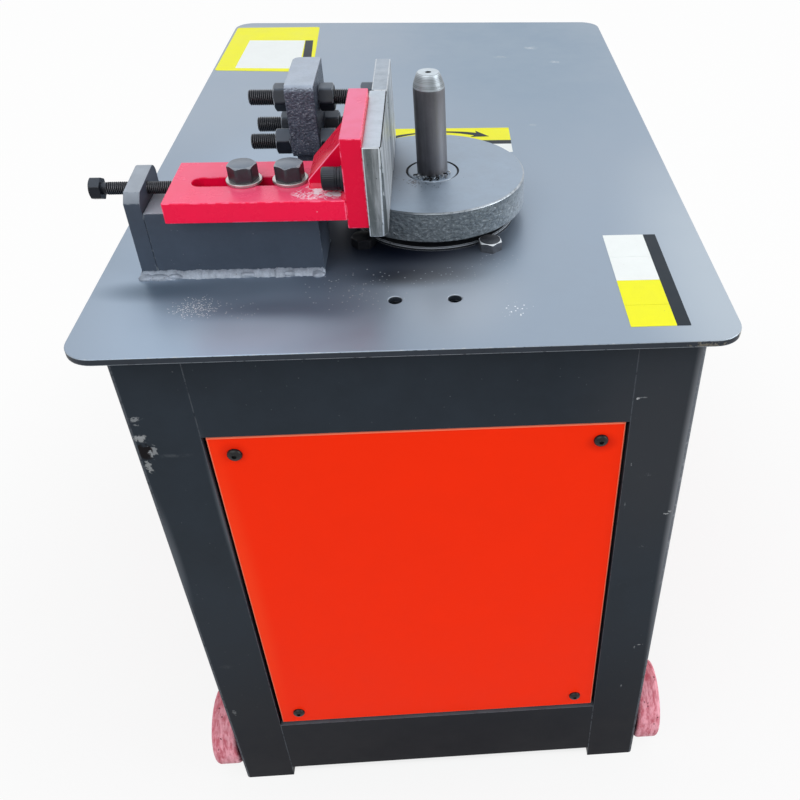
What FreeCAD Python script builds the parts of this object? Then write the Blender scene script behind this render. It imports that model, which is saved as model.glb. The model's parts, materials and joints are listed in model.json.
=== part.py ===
import FreeCAD, Part
import math
import os

# Rebar stirrup bending machine: a steel table on a sheet cabinet, a driven disc with a centre pin,
# an adjustable front jaw on a slotted bracket, a rear jaw on studs, and the drive under the table.
# Millimetres. X to the operator's right, Y away from the operator, Z up. The origin is on the floor
# under the middle of the table.

V = FreeCAD.Vector

# Table
table_width = 600.0
table_depth = 940.0
table_thickness = 7.0
working_height = 750.0
table_corner_radius = 28.0
table_overhang = 26.8
table_hole_radius = 6.5
table_hole_spacing = 56.0
table_hole_left_of_disc = 9.7
table_hole_y = -389.4
table_bore_gap = 1.0

# Cabinet sheet metal
sheet = 3.0
post_face = 65.0
post_side = 80.0
post_bend = 5.0
rail_return = 22.0
top_rail_height = 108.5
bottom_rail_height = 106.7
foot_height = 20.7

# Cabinet panels
panel_sheet = 2.0
panel_tray = 10.0
panel_recess = 2.5
panel_gap = 3.0
panel_edge_radius = 1.8
strip_width = 38.0
strip_thickness = 3.0
panel_screw_radius = 3.0
panel_screw_head_radius = 7.4
panel_screw_head_height = 4.5
panel_screw_crown_share = 0.62
panel_screw_brim_share = 0.45
panel_screw_inset_side = 24.0
panel_screw_inset_end = 22.0
vent_count = 8
vent_length = 90.0
vent_width = 6.0
vent_pitch = 18.0

# Bending disc, centre pin and the head of the spindle
disc_inset = 320.5
disc_y = -213.0
disc_radius = 97.5
disc_thickness = 32.5
disc_lift = 15.0
disc_edge_chamfer = 1.5
spindle_head_radius = 26.4
disc_groove = 2.2
spindle_flange_radius = 40.0
spindle_flange_thickness = 10.0
spindle_edge = 1.0
pin_radius = 16.0
pin_height = 104.0
pin_cone_height = 19.5
pin_cone_top_radius = 10.6
pin_seat_depth = 40.0
pin_seat_radius = 15.0
pin_undercut = 0.6
pin_centre_radius = 2.6
pin_centre_depth = 6.0

# Base block and the lug that holds the adjusting screw
block_inset = 55.6
block_length = 158.0
block_front = -336.0
block_depth = 60.0
block_height = 66.0
lug_thickness = 15.0
lug_depth = 66.5
lug_height = 87.5
lug_front_height = 76.0
lug_slope_run = 8.0
lug_slope_top = 84.0
lug_back_radius = 10.0
screw_radius = 6.0
screw_height_in_plate = 10.0
screw_head_flats = 19.0
screw_head_length = 10.3
screw_free_length = 26.5

# Sliding bracket: slotted plate, upright jaw plate and gusset
slide_left_gap = 25.2
slide_length = 162.2
slide_width = 87.0
slide_thickness = 20.0
slide_front_overhang = 21.0
slide_lift = 0.2
jaw_plate_thickness = 19.2
jaw_plate_height = 86.0
jaw_plate_drop = 9.0
jaw_plate_length = 122.5
jaw_plate_setback = 1.5
gusset_leg = 35.0
gusset_toe = 6.6
gusset_height = 45.0
gusset_thickness = 54.0
gusset_setback = 29.5

# Clamp bolts that hold the sliding bracket to the base block
clamp_bolt_radius = 8.0
clamp_bolt_flats = 24.4
clamp_head_height = 14.5
clamp_washer_radius = 16.5
clamp_washer_thickness = 3.0
clamp_bolt_first = 91.9
clamp_bolt_spacing = 42.5
clamp_thread_depth = 40.0
clamp_bolt_turns = [12.0, 22.0]
slot_play = 1.4
slot_spare_left = 40.2
slot_spare_right = 5.0

# Front jaw and its two screws
front_jaw_thickness = 16.8
front_jaw_length = 138.0
front_jaw_height = 87.0
front_jaw_chamfer_top = 1.6
front_jaw_chamfer_foot = 3.4
front_jaw_chamfer_slant = 2.6
front_jaw_overhang = 1.0
jaw_lift = 1.0
jaw_screw_radius = 7.0
jaw_screw_head_radius = 10.5
jaw_screw_head_length = 14.0
jaw_screw_washer_radius = 11.4
jaw_screw_washer_thickness = 6.2
jaw_screw_reach = 11.0
jaw_screw_edge = 1.0
jaw_screw_socket_radius = 5.5
jaw_screw_socket_depth = 7.0
front_screw_setback = 15.5
front_screw_rise = 14.0
rear_screw_setback = 14.5
rear_screw_drop = 6.0

# Rear jaw, its studs and the cast abutment they pass through
rear_jaw_gap = 2.5
rear_jaw_thickness = 15.6
rear_jaw_length = 93.0
rear_jaw_height = 86.5
rear_jaw_face_step = 0.6
stud_radius = 8.0
stud_tail = 42.0
stud_reach = 11.0
stud_upper_height = 110.0
stud_lower_height = 72.0
stud_lower_spread = 46.0
stud_centre_setback = 50.5
stud_nut_flats = 25.0
stud_nut_thickness = 15.8
jam_nut_thickness = 15.0
stud_nut_turns = [7.0, 40.0, 14.0]
abutment_inset = 205.3
abutment_thickness = 29.8
abutment_depth = 91.0
abutment_top = 134.0
abutment_underside = 59.0
abutment_front_setback = 38.0
abutment_corner = 7.0
abutment_rear_corner = 9.0
abutment_neck_inset = 9.0
abutment_neck_relief = 3.0
abutment_foot_thickness = 11.0
abutment_foot_left_reach = 24.0
abutment_foot_right_reach = 4.0
abutment_hole_play = 0.5

# Bolts that hang the gear case under the table
case_bolt_radius = 7.0
case_bolt_flats = 22.0
case_bolt_head_height = 10.0
case_bolt_span_x = 130.0
case_bolt_span_y = 153.0
case_bolt_turn = -6.0
case_bolt_depth = 12.0
case_bolt_head_turns = [8.0, 40.0, 22.0, 51.0]

# Bearing cap on the table round the spindle
cap_radius = 87.0
cap_thickness = 4.0
cap_screw_circle = 62.0
cap_screw_short = 4.0
cap_edge = 1.0
cap_shaft_play = 0.8

# Gear train
wheel_teeth = 68
pinion_teeth = 17
main_module = 3.0
mid_module = 2.5
pressure_angle = 20.0
backlash = 0.35
addendum = 1.0
dedendum = 1.25
main_gear_face = 30.0
mid_gear_face = 22.0
gear_web = 12.0
main_gear_hub_radius = 40.0
mid_gear_hub_radius = 30.0
gear_rim = 12.0
gear_window_share = 0.36
pinion_overlap = 2.0
gear_layer_gap = 20.0

# Shafts and bearings
main_journal_radius = 27.5
main_bearing_radius = 45.0
main_bearing_height = 18.0
main_seat_radius = 26.0
spindle_shank_radius = 22.0
foot_journal_radius = 20.0
foot_bearing_radius = 40.0
foot_bearing_height = 16.0
mid_journal_radius = 15.0
mid_seat_radius = 18.0
mid_bearing_radius = 31.0
mid_bearing_height = 16.0
input_journal_radius = 12.5
input_shank_radius = 15.0
input_bearing_radius = 26.0
input_bearing_height = 15.0
bearing_shield_depth = 1.2
bearing_race_share = 0.28
shoulder_gap = 1.0
shaft_hole_play = 1.5

# Gear case
case_wall = 8.0
case_room = 6.0
case_plate = 15.0
case_flange = 14.0
case_flange_thickness = 12.0
upper_boss_drop = 17.0
main_boss_drop = 8.0
boss_wall = 8.0
gear_side_gap = 4.0
case_floor_gap = 17.0
cover_thickness = 12.0
lower_boss_drop = 10.0
cover_screw_radius = 4.0
cover_screw_flats = 13.0
cover_screw_head_height = 5.5
cover_screw_depth = 10.0
cover_screw_main_angles = [-150.0, -110.0, -70.0, -30.0]
cover_screw_end_angles = [35.0, 90.0, 145.0]

# Belt drive
input_pulley_pitch_radius = 112.0
motor_pulley_pitch_radius = 40.0
belt_centre_distance = 250.0
belt_count = 2
belt_pitch = 16.0
belt_top_width = 13.0
belt_bottom_width = 8.0
belt_thickness = 8.0
belt_clearance = 0.3
pulley_edge = 10.0
pulley_web = 10.0
pulley_hub_radius = 28.0
pulley_drop = 6.0
pulley_rim_drop = 1.0
pulley_root_spare = 2.0
pulley_rim_wall = 8.0

# Motor and its hangers
motor_shaft_radius = 12.0
motor_shaft_depth = 38.0
motor_shaft_end = 2.0
motor_flange_radius = 100.0
motor_flange_thickness = 12.0
motor_body_radius = 78.0
motor_fin_radius = 88.0
motor_fin_count = 20
motor_fin_thickness = 3.0
motor_fin_sink = 2.0
motor_fin_gap = 14.0
motor_body_length = 210.0
fan_cover_length = 62.0
fan_cover_radius = 86.0
fan_cover_rounding = 12.0
terminal_box_sink = 4.0
terminal_box_reach = 42.0
terminal_box_width = 90.0
terminal_box_height = 90.0
terminal_box_drop = 40.0
motor_bolt_circle = 82.5
motor_plate_thickness = 8.0
motor_plate_drop = 8.0
motor_plate_margin = 10.0
motor_plate_hole_play = 8.0
hanger_gap = 224.0
hanger_thickness = 8.0
hanger_depth = 190.0
hanger_foot = 30.0
hanger_bolt_inset = 20.0
motor_bolt_radius = 5.0
motor_bolt_flats = 17.0
motor_bolt_head_height = 6.4
hanger_slot_length = 30.0

# Control box and cable gland
control_box_width = 90.0
control_box_depth = 160.0
control_box_height = 180.0
control_box_y = 140.0
control_box_drop = 14.5
control_box_rounding = 4.0
control_box_seam = 1.2
control_box_seam_share = 0.7
control_strap_thickness = 3.0
control_strap_depth = 120.0
control_strap_rise = 10.0
gland_inset = 28.2
gland_bore_radius = 6.0
gland_thread_radius = 10.0
gland_flats = 27.0
gland_nut_thickness = 6.0
gland_collar = 9.0
gland_dome_length = 16.0
gland_dome_radius = 11.5
gland_mouth_wall = 2.0
gland_thread_end = 4.0

# Wheels at the front corners and their axle
wheel_radius = 53.5
wheel_width = 32.0
wheel_shoulder = 5.0
wheel_rim_thickness = 10.0
wheel_rim_draft = 1.5
wheel_web = 11.0
wheel_hub_radius = 20.0
wheel_hub_recess = 8.0
wheel_stand_out = 34.8
wheel_setback = 53.2
wheel_floor_gap = 1.5
axle_radius = 10.0
axle_washer_radius = 17.0
axle_washer_thickness = 2.4
axle_plate_thickness = 6.0
axle_plate_height = 80.0
axle_plate_gap = 2.0
axle_plate_rear_gap = 1.0
axle_setback = 0.5
split_pin_radius = 1.6
split_pin_setback = 0.4
split_pin_overhang = 4.0

# Clearances
fit = 0.02
running = 0.05
side_gap = 0.2
hole_play = 0.4
drill_spare = 2.0

# How far a cutting shape runs past the face it cuts, or a joined one into its neighbour
past = 1.0

# How close to a face an edge lies that belongs to it
near = 1.0
tiny = 1e-3
hair = 0.01

# Places worked out from the sizes above
half_width = table_width / 2 - table_overhang
half_depth = table_depth / 2 - table_overhang
table_under = working_height - table_thickness
post_return = panel_recess + panel_tray
opening_x = half_width - post_face
opening_y = half_depth - post_side
opening_bottom = foot_height + bottom_rail_height
opening_top = table_under - top_rail_height

disc_x = disc_inset - table_width / 2
table_hole_x = disc_x - table_hole_left_of_disc
disc_bottom = working_height + disc_lift
disc_top = disc_bottom + disc_thickness
pin_top = disc_top + pin_height

block_left = block_inset - table_width / 2
block_right = block_left + block_length
block_top = working_height + block_height
slide_left = block_left + slide_left_gap
slide_right = slide_left + slide_length
slide_front = block_front - slide_front_overhang
slide_back = slide_front + slide_width
slide_bottom = block_top + slide_lift
slide_top = slide_bottom + slide_thickness
clamp_x = [block_left + clamp_bolt_first]
clamp_x.append(clamp_x[0] + clamp_bolt_spacing)
slide_middle_y = (slide_front + slide_back) / 2
slot_radius = clamp_bolt_radius + slot_play

jaw_plate_left = slide_right
jaw_plate_right = jaw_plate_left + jaw_plate_thickness
jaw_plate_bottom = slide_bottom - jaw_plate_drop
jaw_plate_top = jaw_plate_bottom + jaw_plate_height
jaw_plate_front = slide_front + jaw_plate_setback
jaw_plate_back = jaw_plate_front + jaw_plate_length
front_jaw_left = jaw_plate_right
front_jaw_right = front_jaw_left + front_jaw_thickness
front_jaw_bottom = disc_top + jaw_lift
front_jaw_front = jaw_plate_front - front_jaw_overhang
front_jaw_back = front_jaw_front + front_jaw_length
jaw_screws = [
    (front_jaw_front + front_screw_setback, slide_top + front_screw_rise),
    (jaw_plate_back - rear_screw_setback, slide_top - rear_screw_drop),
]

lug_left = block_left - lug_thickness
screw_y = block_front + lug_depth / 2
screw_z = slide_bottom + screw_height_in_plate

rear_jaw_right = front_jaw_right + rear_jaw_face_step
rear_jaw_left = rear_jaw_right - rear_jaw_thickness
rear_jaw_front = front_jaw_back + rear_jaw_gap
rear_jaw_back = rear_jaw_front + rear_jaw_length
abutment_right = abutment_inset - table_width / 2
abutment_left = abutment_right - abutment_thickness
stud_centre_y = rear_jaw_front + stud_centre_setback
stud_left = abutment_left - stud_tail
studs = [
    (stud_centre_y, working_height + stud_upper_height),
    (stud_centre_y - stud_lower_spread / 2, working_height + stud_lower_height),
    (stud_centre_y + stud_lower_spread / 2, working_height + stud_lower_height),
]

spindle_at = (disc_x, disc_y)
main_distance = main_module * (wheel_teeth + pinion_teeth) / 2
mid_distance = mid_module * (wheel_teeth + pinion_teeth) / 2
mid_at = (disc_x, disc_y + main_distance)
input_at = (disc_x, mid_at[1] + mid_distance)
motor_at = (disc_x, input_at[1] + belt_centre_distance)

case_top = table_under
case_ceiling = case_top - case_plate
upper_boss_bottom = case_ceiling - upper_boss_drop
main_gear_top = upper_boss_bottom - gear_side_gap
main_gear_bottom = main_gear_top - main_gear_face
mid_gear_top = main_gear_bottom - gear_layer_gap
mid_gear_bottom = mid_gear_top - mid_gear_face
case_bottom = mid_gear_bottom - case_floor_gap
cover_bottom = case_bottom - cover_thickness
lower_boss_bottom = cover_bottom - lower_boss_drop

pulley_width = belt_count * belt_pitch + (pulley_edge - belt_pitch / 2) * 2
pulley_top = lower_boss_bottom - pulley_drop
pulley_bottom = pulley_top - pulley_width
motor_plate_top = pulley_bottom - motor_plate_drop
motor_plate_bottom = motor_plate_top - motor_plate_thickness

case_inner_main = main_module * (wheel_teeth / 2 + addendum) + case_room
case_inner_mid = mid_module * (wheel_teeth / 2 + addendum) + case_room
mid_share = main_distance / (main_distance + mid_distance)
case_inner_end = case_inner_main + (case_inner_mid - case_inner_main) / mid_share

gland_x = opening_x - gland_inset

wheel_outer_x = half_width + wheel_stand_out
wheel_y = wheel_setback - half_depth
wheel_z = wheel_radius + wheel_floor_gap
axle_end = wheel_outer_x - axle_setback


def box(x0, x1, y0, y1, z0, z1):
    """A block between two corners."""
    return Part.makeBox(x1 - x0, y1 - y0, z1 - z0, V(x0, y0, z0))


def rod_z(radius, at, z0, z1):
    """An upright cylinder at a place in plan."""
    return Part.makeCylinder(radius, z1 - z0, V(at[0], at[1], z0), V(0, 0, 1))


def rod_x(radius, x0, x1, at):
    """A cylinder along X; at is its (y, z)."""
    return Part.makeCylinder(radius, x1 - x0, V(x0, at[0], at[1]), V(1, 0, 0))


def rod_y(radius, y0, y1, at):
    """A cylinder along Y; at is its (x, z)."""
    return Part.makeCylinder(radius, y1 - y0, V(at[0], y0, at[1]), V(0, 1, 0))


def ring_z(outer, inner, at, z0, z1):
    """An upright ring."""
    return rod_z(outer, at, z0, z1).cut(rod_z(inner, at, z0 - past, z1 + past))


def closed_face(points):
    """A flat face inside a closed run of points."""
    return Part.Face(Part.makePolygon(points + [points[0]]))


def hexagon(flats, base, normal, length, turn=0.0):
    """A hexagonal prism from base along normal (X, Y or Z); flats is its width across flats."""
    corner = flats / math.sqrt(3)
    points = []
    for k in range(6):
        a = math.radians(60 * k + turn)
        u = corner * math.cos(a)
        v = corner * math.sin(a)
        if normal == "Z":
            points.append(V(base[0] + u, base[1] + v, base[2]))
        elif normal == "X":
            points.append(V(base[0], base[1] + u, base[2] + v))
        else:
            points.append(V(base[0] + u, base[1], base[2] + v))
    along = {"X": V(length, 0, 0), "Y": V(0, length, 0), "Z": V(0, 0, length)}[normal]
    return closed_face(points).extrude(along)


def turned_z(profile, at):
    """A solid turned about the upright line through a place in plan; profile is (radius, height)."""
    face = closed_face([V(at[0] + r, at[1], z) for r, z in profile])
    return face.revolve(V(at[0], at[1], 0), V(0, 0, 1), 360)


def turned_x(profile, at):
    """A solid turned about a line along X through (y, z); profile is (radius, x)."""
    face = closed_face([V(x, at[0], at[1] + r) for r, x in profile])
    return face.revolve(V(0, at[0], at[1]), V(1, 0, 0), 360)


def mirrored_x(shape):
    """The same shape on the other side of the middle plane."""
    return shape.mirror(V(0, 0, 0), V(1, 0, 0))


def mirrored_y(shape):
    """The same shape at the other end of the machine."""
    return shape.mirror(V(0, 0, 0), V(0, 1, 0))


def round_edges(shape, radius, wanted):
    """Round the edges for which wanted(edge) is true."""
    return shape.makeFillet(radius, [edge for edge in shape.Edges if wanted(edge)])


def is_upright(edge):
    """True for a straight edge along Z."""
    box_of = edge.BoundBox
    return box_of.XLength < 1e-6 and box_of.YLength < 1e-6


def is_along_x(edge):
    """True for a straight edge along X."""
    box_of = edge.BoundBox
    return box_of.YLength < 1e-6 and box_of.ZLength < 1e-6


def drum_face(first, first_radius, last, last_radius, z):
    """The flat outline that a band stretched round two circles would make."""
    dx = last[0] - first[0]
    dy = last[1] - first[1]
    heading = math.atan2(dy, dx)
    spread = math.acos((first_radius - last_radius) / math.hypot(dx, dy))

    def on(centre, radius, angle):
        return V(centre[0] + radius * math.cos(angle), centre[1] + radius * math.sin(angle), z)

    first_up = on(first, first_radius, heading + spread)
    first_down = on(first, first_radius, heading - spread)
    last_up = on(last, last_radius, heading + spread)
    last_down = on(last, last_radius, heading - spread)
    edges = [
        Part.Arc(first_up, on(first, first_radius, heading + math.pi), first_down).toShape(),
        Part.makeLine(first_down, last_down),
        Part.Arc(last_down, on(last, last_radius, heading), last_up).toShape(),
        Part.makeLine(last_up, first_up),
    ]
    return Part.Face(Part.Wire(edges))


def drum(first, first_radius, last, last_radius, z0, z1):
    """The outline of drum_face as a solid."""
    return drum_face(first, first_radius, last, last_radius, z0).extrude(V(0, 0, z1 - z0))


def gear_teeth(module, teeth, at, z0, z1, heading, tooth_there):
    """A toothed wheel with involute flanks; a tooth, or else a gap, points along heading degrees."""
    pitch = module * teeth / 2
    base = pitch * math.cos(math.radians(pressure_angle))
    root = pitch - dedendum * module
    tip = pitch + addendum * module
    radii = [root, pitch, (pitch + tip) / 2, tip]
    if base > root:
        radii.insert(1, base)
    slant = math.radians(pressure_angle)
    half_pitch_angle = (math.pi * module / 2 - backlash / 2) / (2 * pitch)

    def half_angle(radius):
        pressed = math.acos(min(1.0, base / max(radius, base)))
        return half_pitch_angle + math.tan(slant) - slant - (math.tan(pressed) - pressed)

    start = math.radians(heading)
    if not tooth_there:
        start += math.pi / teeth
    points = []
    for k in range(teeth):
        middle = start + 2 * math.pi * k / teeth
        flank = [(r, half_angle(r)) for r in radii]
        for r, a in flank:
            points.append(V(at[0] + r * math.cos(middle - a), at[1] + r * math.sin(middle - a), z0))
        for r, a in reversed(flank):
            points.append(V(at[0] + r * math.cos(middle + a), at[1] + r * math.sin(middle + a), z0))
    return closed_face(points).extrude(V(0, 0, z1 - z0))


def gear_wheel(module, at, z0, z1, hub_radius, bore_radius, heading):
    """A large gear: toothed rim, thinner web with four round windows, hub and bore."""
    blank = gear_teeth(module, wheel_teeth, at, z0, z1, heading, True)
    rim_inside = module * (wheel_teeth / 2 - dedendum) - gear_rim
    hollow = (z1 - z0 - gear_web) / 2
    upper = ring_z(rim_inside, hub_radius, at, z1 - hollow, z1 + past)
    lower = ring_z(rim_inside, hub_radius, at, z0 - past, z0 + hollow)
    cuts = [upper, lower, rod_z(bore_radius, at, z0 - past, z1 + past)]
    window_circle = (rim_inside + hub_radius) / 2
    window_radius = (rim_inside - hub_radius) * gear_window_share
    for k in range(4):
        a = math.radians(45 + 90 * k)
        spot = (at[0] + window_circle * math.cos(a), at[1] + window_circle * math.sin(a))
        cuts.append(rod_z(window_radius, spot, z0 - past, z1 + past))
    return blank.cut(cuts)


def bearing(at, bore, outer, z0, z1):
    """A shielded ball bearing as one ring, its shields set back between the two races."""
    race = (outer - bore) * bearing_race_share
    return turned_z([
        (bore + running, z0),
        (bore + race, z0),
        (bore + race, z0 + bearing_shield_depth),
        (outer - race, z0 + bearing_shield_depth),
        (outer - race, z0),
        (outer, z0),
        (outer, z1),
        (outer - race, z1),
        (outer - race, z1 - bearing_shield_depth),
        (bore + race, z1 - bearing_shield_depth),
        (bore + race, z1),
        (bore + running, z1),
    ], at)


def save(name, shape):
    """Write one sub-part; a list of solids becomes one group."""
    if isinstance(shape, list):
        shape = Part.makeCompound(shape)
    shape.exportStep("parts/" + name + ".step")


def rect_spots(centre, span_x, span_y, turn):
    """The four corners of a rectangle in plan, turned about its centre."""
    spots = []
    angle = math.radians(turn)
    for sx, sy in ((-1, -1), (1, -1), (1, 1), (-1, 1)):
        u = sx * span_x / 2
        v = sy * span_y / 2
        x = centre[0] + u * math.cos(angle) - v * math.sin(angle)
        y = centre[1] + u * math.sin(angle) + v * math.cos(angle)
        spots.append((x, y))
    return spots


case_bolt_spots = rect_spots(spindle_at, case_bolt_span_x, case_bolt_span_y, case_bolt_turn)
cap_screw_spots = rect_spots(spindle_at, cap_screw_circle * math.sqrt(2), cap_screw_circle * math.sqrt(2), 45)


def cover_screw_spots():
    """Screws round the flange of the gear case: on both round ends and halfway along the sides."""
    middle = case_wall + case_flange / 2
    main_r = case_inner_main + middle
    end_r = case_inner_end + middle
    spots = []
    for degrees in cover_screw_main_angles:
        a = math.radians(degrees)
        spots.append((spindle_at[0] + main_r * math.cos(a), spindle_at[1] + main_r * math.sin(a)))
    for degrees in cover_screw_end_angles:
        a = math.radians(degrees)
        spots.append((input_at[0] + end_r * math.cos(a), input_at[1] + end_r * math.sin(a)))
    spread = math.acos((main_r - end_r) / (main_distance + mid_distance))
    for side in (-1, 1):
        a = math.pi / 2 + side * spread
        x = (spindle_at[0] + main_r * math.cos(a) + input_at[0] + end_r * math.cos(a)) / 2
        y = (spindle_at[1] + main_r * math.sin(a) + input_at[1] + end_r * math.sin(a)) / 2
        spots.append((x, y))
    return spots


# Table

def make_table():
    """Flat top with rounded corners, the two tool holes, and the holes over the gear case."""
    plate = box(-table_width / 2, table_width / 2, -table_depth / 2, table_depth / 2,
                table_under, working_height)
    plate = round_edges(plate, table_corner_radius, is_upright)
    cuts = [rod_z(main_bearing_radius + table_bore_gap, spindle_at, table_under - past,
                  working_height + past)]
    for side in (-1, 1):
        spot = (table_hole_x + side * table_hole_spacing / 2, table_hole_y)
        cuts.append(rod_z(table_hole_radius, spot, table_under - past, working_height + past))
    for spot in case_bolt_spots:
        cuts.append(rod_z(case_bolt_radius + hole_play, spot, table_under - past, working_height + past))
    for spot in cap_screw_spots:
        cuts.append(rod_z(cover_screw_radius + hole_play, spot, table_under - past, working_height + past))
    return plate.cut(cuts)


# Cabinet

def make_post():
    """Front left corner post: a folded angle with a short return along each free edge."""
    x0 = -half_width
    y0 = -half_depth
    outer = box(x0, x0 + post_face, y0, y0 + post_side, 0, table_under)
    outer = round_edges(outer, post_bend, lambda e: is_upright(e) and e.BoundBox.XMax < x0 + near
                        and e.BoundBox.YMax < y0 + near)
    inner = box(x0 + sheet, x0 + post_face + past, y0 + sheet, y0 + post_side + past, -1, table_under + past)
    inner = round_edges(inner, post_bend - sheet, lambda e: is_upright(e)
                        and e.BoundBox.XMax < x0 + sheet + near
                        and e.BoundBox.YMax < y0 + sheet + near)
    angle = outer.cut(inner)
    front_return = box(x0 + post_face - sheet, x0 + post_face, y0, y0 + post_return, 0, table_under)
    side_return = box(x0, x0 + post_return, y0 + post_side - sheet, y0 + post_side, 0, table_under)
    return angle.fuse([front_return, side_return]).removeSplitter()


def make_posts():
    """Four corner posts; the front pair is drilled for the wheel axle."""
    front_left = make_post()
    rear_left = mirrored_y(front_left)
    drill = rod_x(axle_radius + hole_play, -half_width - past, -half_width + sheet + past, (wheel_y, wheel_z))
    front_left = front_left.cut(drill)
    return {
        "post_front_left": front_left,
        "post_front_right": mirrored_x(front_left),
        "post_rear_left": rear_left,
        "post_rear_right": mirrored_x(rear_left),
    }


def make_front_rail(z0, z1):
    """A folded channel between the front posts, open towards the inside."""
    y0 = -half_depth
    web = box(-opening_x, opening_x, y0, y0 + sheet, z0, z1)
    lower = box(-opening_x, opening_x, y0, y0 + rail_return, z0, z0 + sheet)
    upper = box(-opening_x, opening_x, y0, y0 + rail_return, z1 - sheet, z1)
    return web.fuse([lower, upper]).removeSplitter()


def make_side_rail(z0, z1):
    """A folded channel between the left posts, open towards the inside."""
    x0 = -half_width
    web = box(x0, x0 + sheet, -opening_y, opening_y, z0, z1)
    lower = box(x0, x0 + rail_return, -opening_y, opening_y, z0, z0 + sheet)
    upper = box(x0, x0 + rail_return, -opening_y, opening_y, z1 - sheet, z1)
    return web.fuse([lower, upper]).removeSplitter()


def make_rails():
    """Top and bottom rails on all four sides."""
    top_front = make_front_rail(opening_top, table_under)
    bottom_front = make_front_rail(foot_height, opening_bottom)
    bottom_rear = mirrored_y(bottom_front)
    gland_hole = rod_y(gland_thread_radius + hole_play, half_depth - sheet - past, half_depth + past,
                       (gland_x, foot_height + bottom_rail_height / 2))
    top_side = make_side_rail(opening_top, table_under)
    bottom_side = make_side_rail(foot_height, opening_bottom)
    return {
        "top_rail_front": top_front,
        "top_rail_rear": mirrored_y(top_front),
        "bottom_rail_front": bottom_front,
        "bottom_rail_rear": bottom_rear.cut(gland_hole),
        "top_side_rails": [top_side, mirrored_x(top_side)],
        "bottom_side_rails": [bottom_side, mirrored_x(bottom_side)],
    }


panel_bottom = opening_bottom + panel_gap
panel_top = opening_top - panel_gap
panel_half_x = opening_x - panel_gap
panel_half_y = opening_y - panel_gap
front_screw_places = [
    (sx * (panel_half_x - panel_screw_inset_side), z)
    for sx in (-1, 1)
    for z in (panel_bottom + panel_screw_inset_end, panel_top - panel_screw_inset_end)
]
side_screw_places = [
    (sy * (panel_half_y - panel_screw_inset_side), z)
    for sy in (-1, 1)
    for z in (panel_bottom + panel_screw_inset_end, (panel_bottom + panel_top) / 2,
              panel_top - panel_screw_inset_end)
]


def make_strips():
    """Flat bars behind the panels, welded to the posts' returns and tapped for the panel screws."""
    bars = []
    y0 = -half_depth + post_return
    front = box(-opening_x - sheet, -opening_x - sheet + strip_width, y0, y0 + strip_thickness,
                opening_bottom, opening_top)
    for x, z in front_screw_places:
        if x < 0:
            front = front.cut(rod_y(panel_screw_radius + running, y0 - past, y0 + strip_thickness + past,
                                    (x, z)))
    bars += [front, mirrored_x(front), mirrored_y(front), mirrored_y(mirrored_x(front))]
    x0 = -half_width + post_return
    side = box(x0, x0 + strip_thickness, -opening_y - sheet, -opening_y - sheet + strip_width,
               opening_bottom, opening_top)
    for y, z in side_screw_places:
        if y < 0:
            side = side.cut(rod_x(panel_screw_radius + running, x0 - past, x0 + strip_thickness + past,
                                  (y, z)))
    bars += [side, mirrored_x(side), mirrored_y(side), mirrored_y(mirrored_x(side))]
    return bars


def make_tray_y(vented):
    """Front or rear panel: a shallow sheet tray, its rim bearing on the strips behind it."""
    y0 = -half_depth + panel_recess
    y1 = y0 + panel_tray
    tray = box(-panel_half_x, panel_half_x, y0, y1, panel_bottom, panel_top)
    tray = round_edges(tray, panel_edge_radius, lambda e: e.BoundBox.YMax < y0 + tiny)
    hollow = box(-panel_half_x + panel_sheet, panel_half_x - panel_sheet, y0 + panel_sheet, y1 + past,
                 panel_bottom + panel_sheet, panel_top - panel_sheet)
    cuts = [hollow]
    for x, z in front_screw_places:
        cuts.append(rod_y(panel_screw_radius + hole_play, y0 - past, y1 + past, (x, z)))
    if vented:
        middle = (panel_bottom + panel_top) / 2
        for k in range(vent_count):
            z = middle + (k - (vent_count - 1) / 2) * vent_pitch
            for side in (-1, 1):
                x = side * panel_half_x / 2
                cuts.append(box(x - vent_length / 2, x + vent_length / 2, y0 - past, y1 + past,
                                z - vent_width / 2, z + vent_width / 2))
    return tray.cut(cuts)


def make_tray_x():
    """Left panel: the same tray, turned to the side."""
    x0 = -half_width + panel_recess
    x1 = x0 + panel_tray
    tray = box(x0, x1, -panel_half_y, panel_half_y, panel_bottom, panel_top)
    tray = round_edges(tray, panel_edge_radius, lambda e: e.BoundBox.XMax < x0 + tiny)
    cuts = [box(x0 + panel_sheet, x1 + past, -panel_half_y + panel_sheet, panel_half_y - panel_sheet,
                panel_bottom + panel_sheet, panel_top - panel_sheet)]
    for y, z in side_screw_places:
        cuts.append(rod_x(panel_screw_radius + hole_play, x0 - past, x1 + past, (y, z)))
    return tray.cut(cuts)


def make_panels():
    """Four bolted panels."""
    left = make_tray_x()
    return {
        "front_panel": make_tray_y(False),
        "rear_panel": mirrored_y(make_tray_y(True)),
        "left_panel": left,
        "right_panel": mirrored_x(left),
    }


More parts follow.
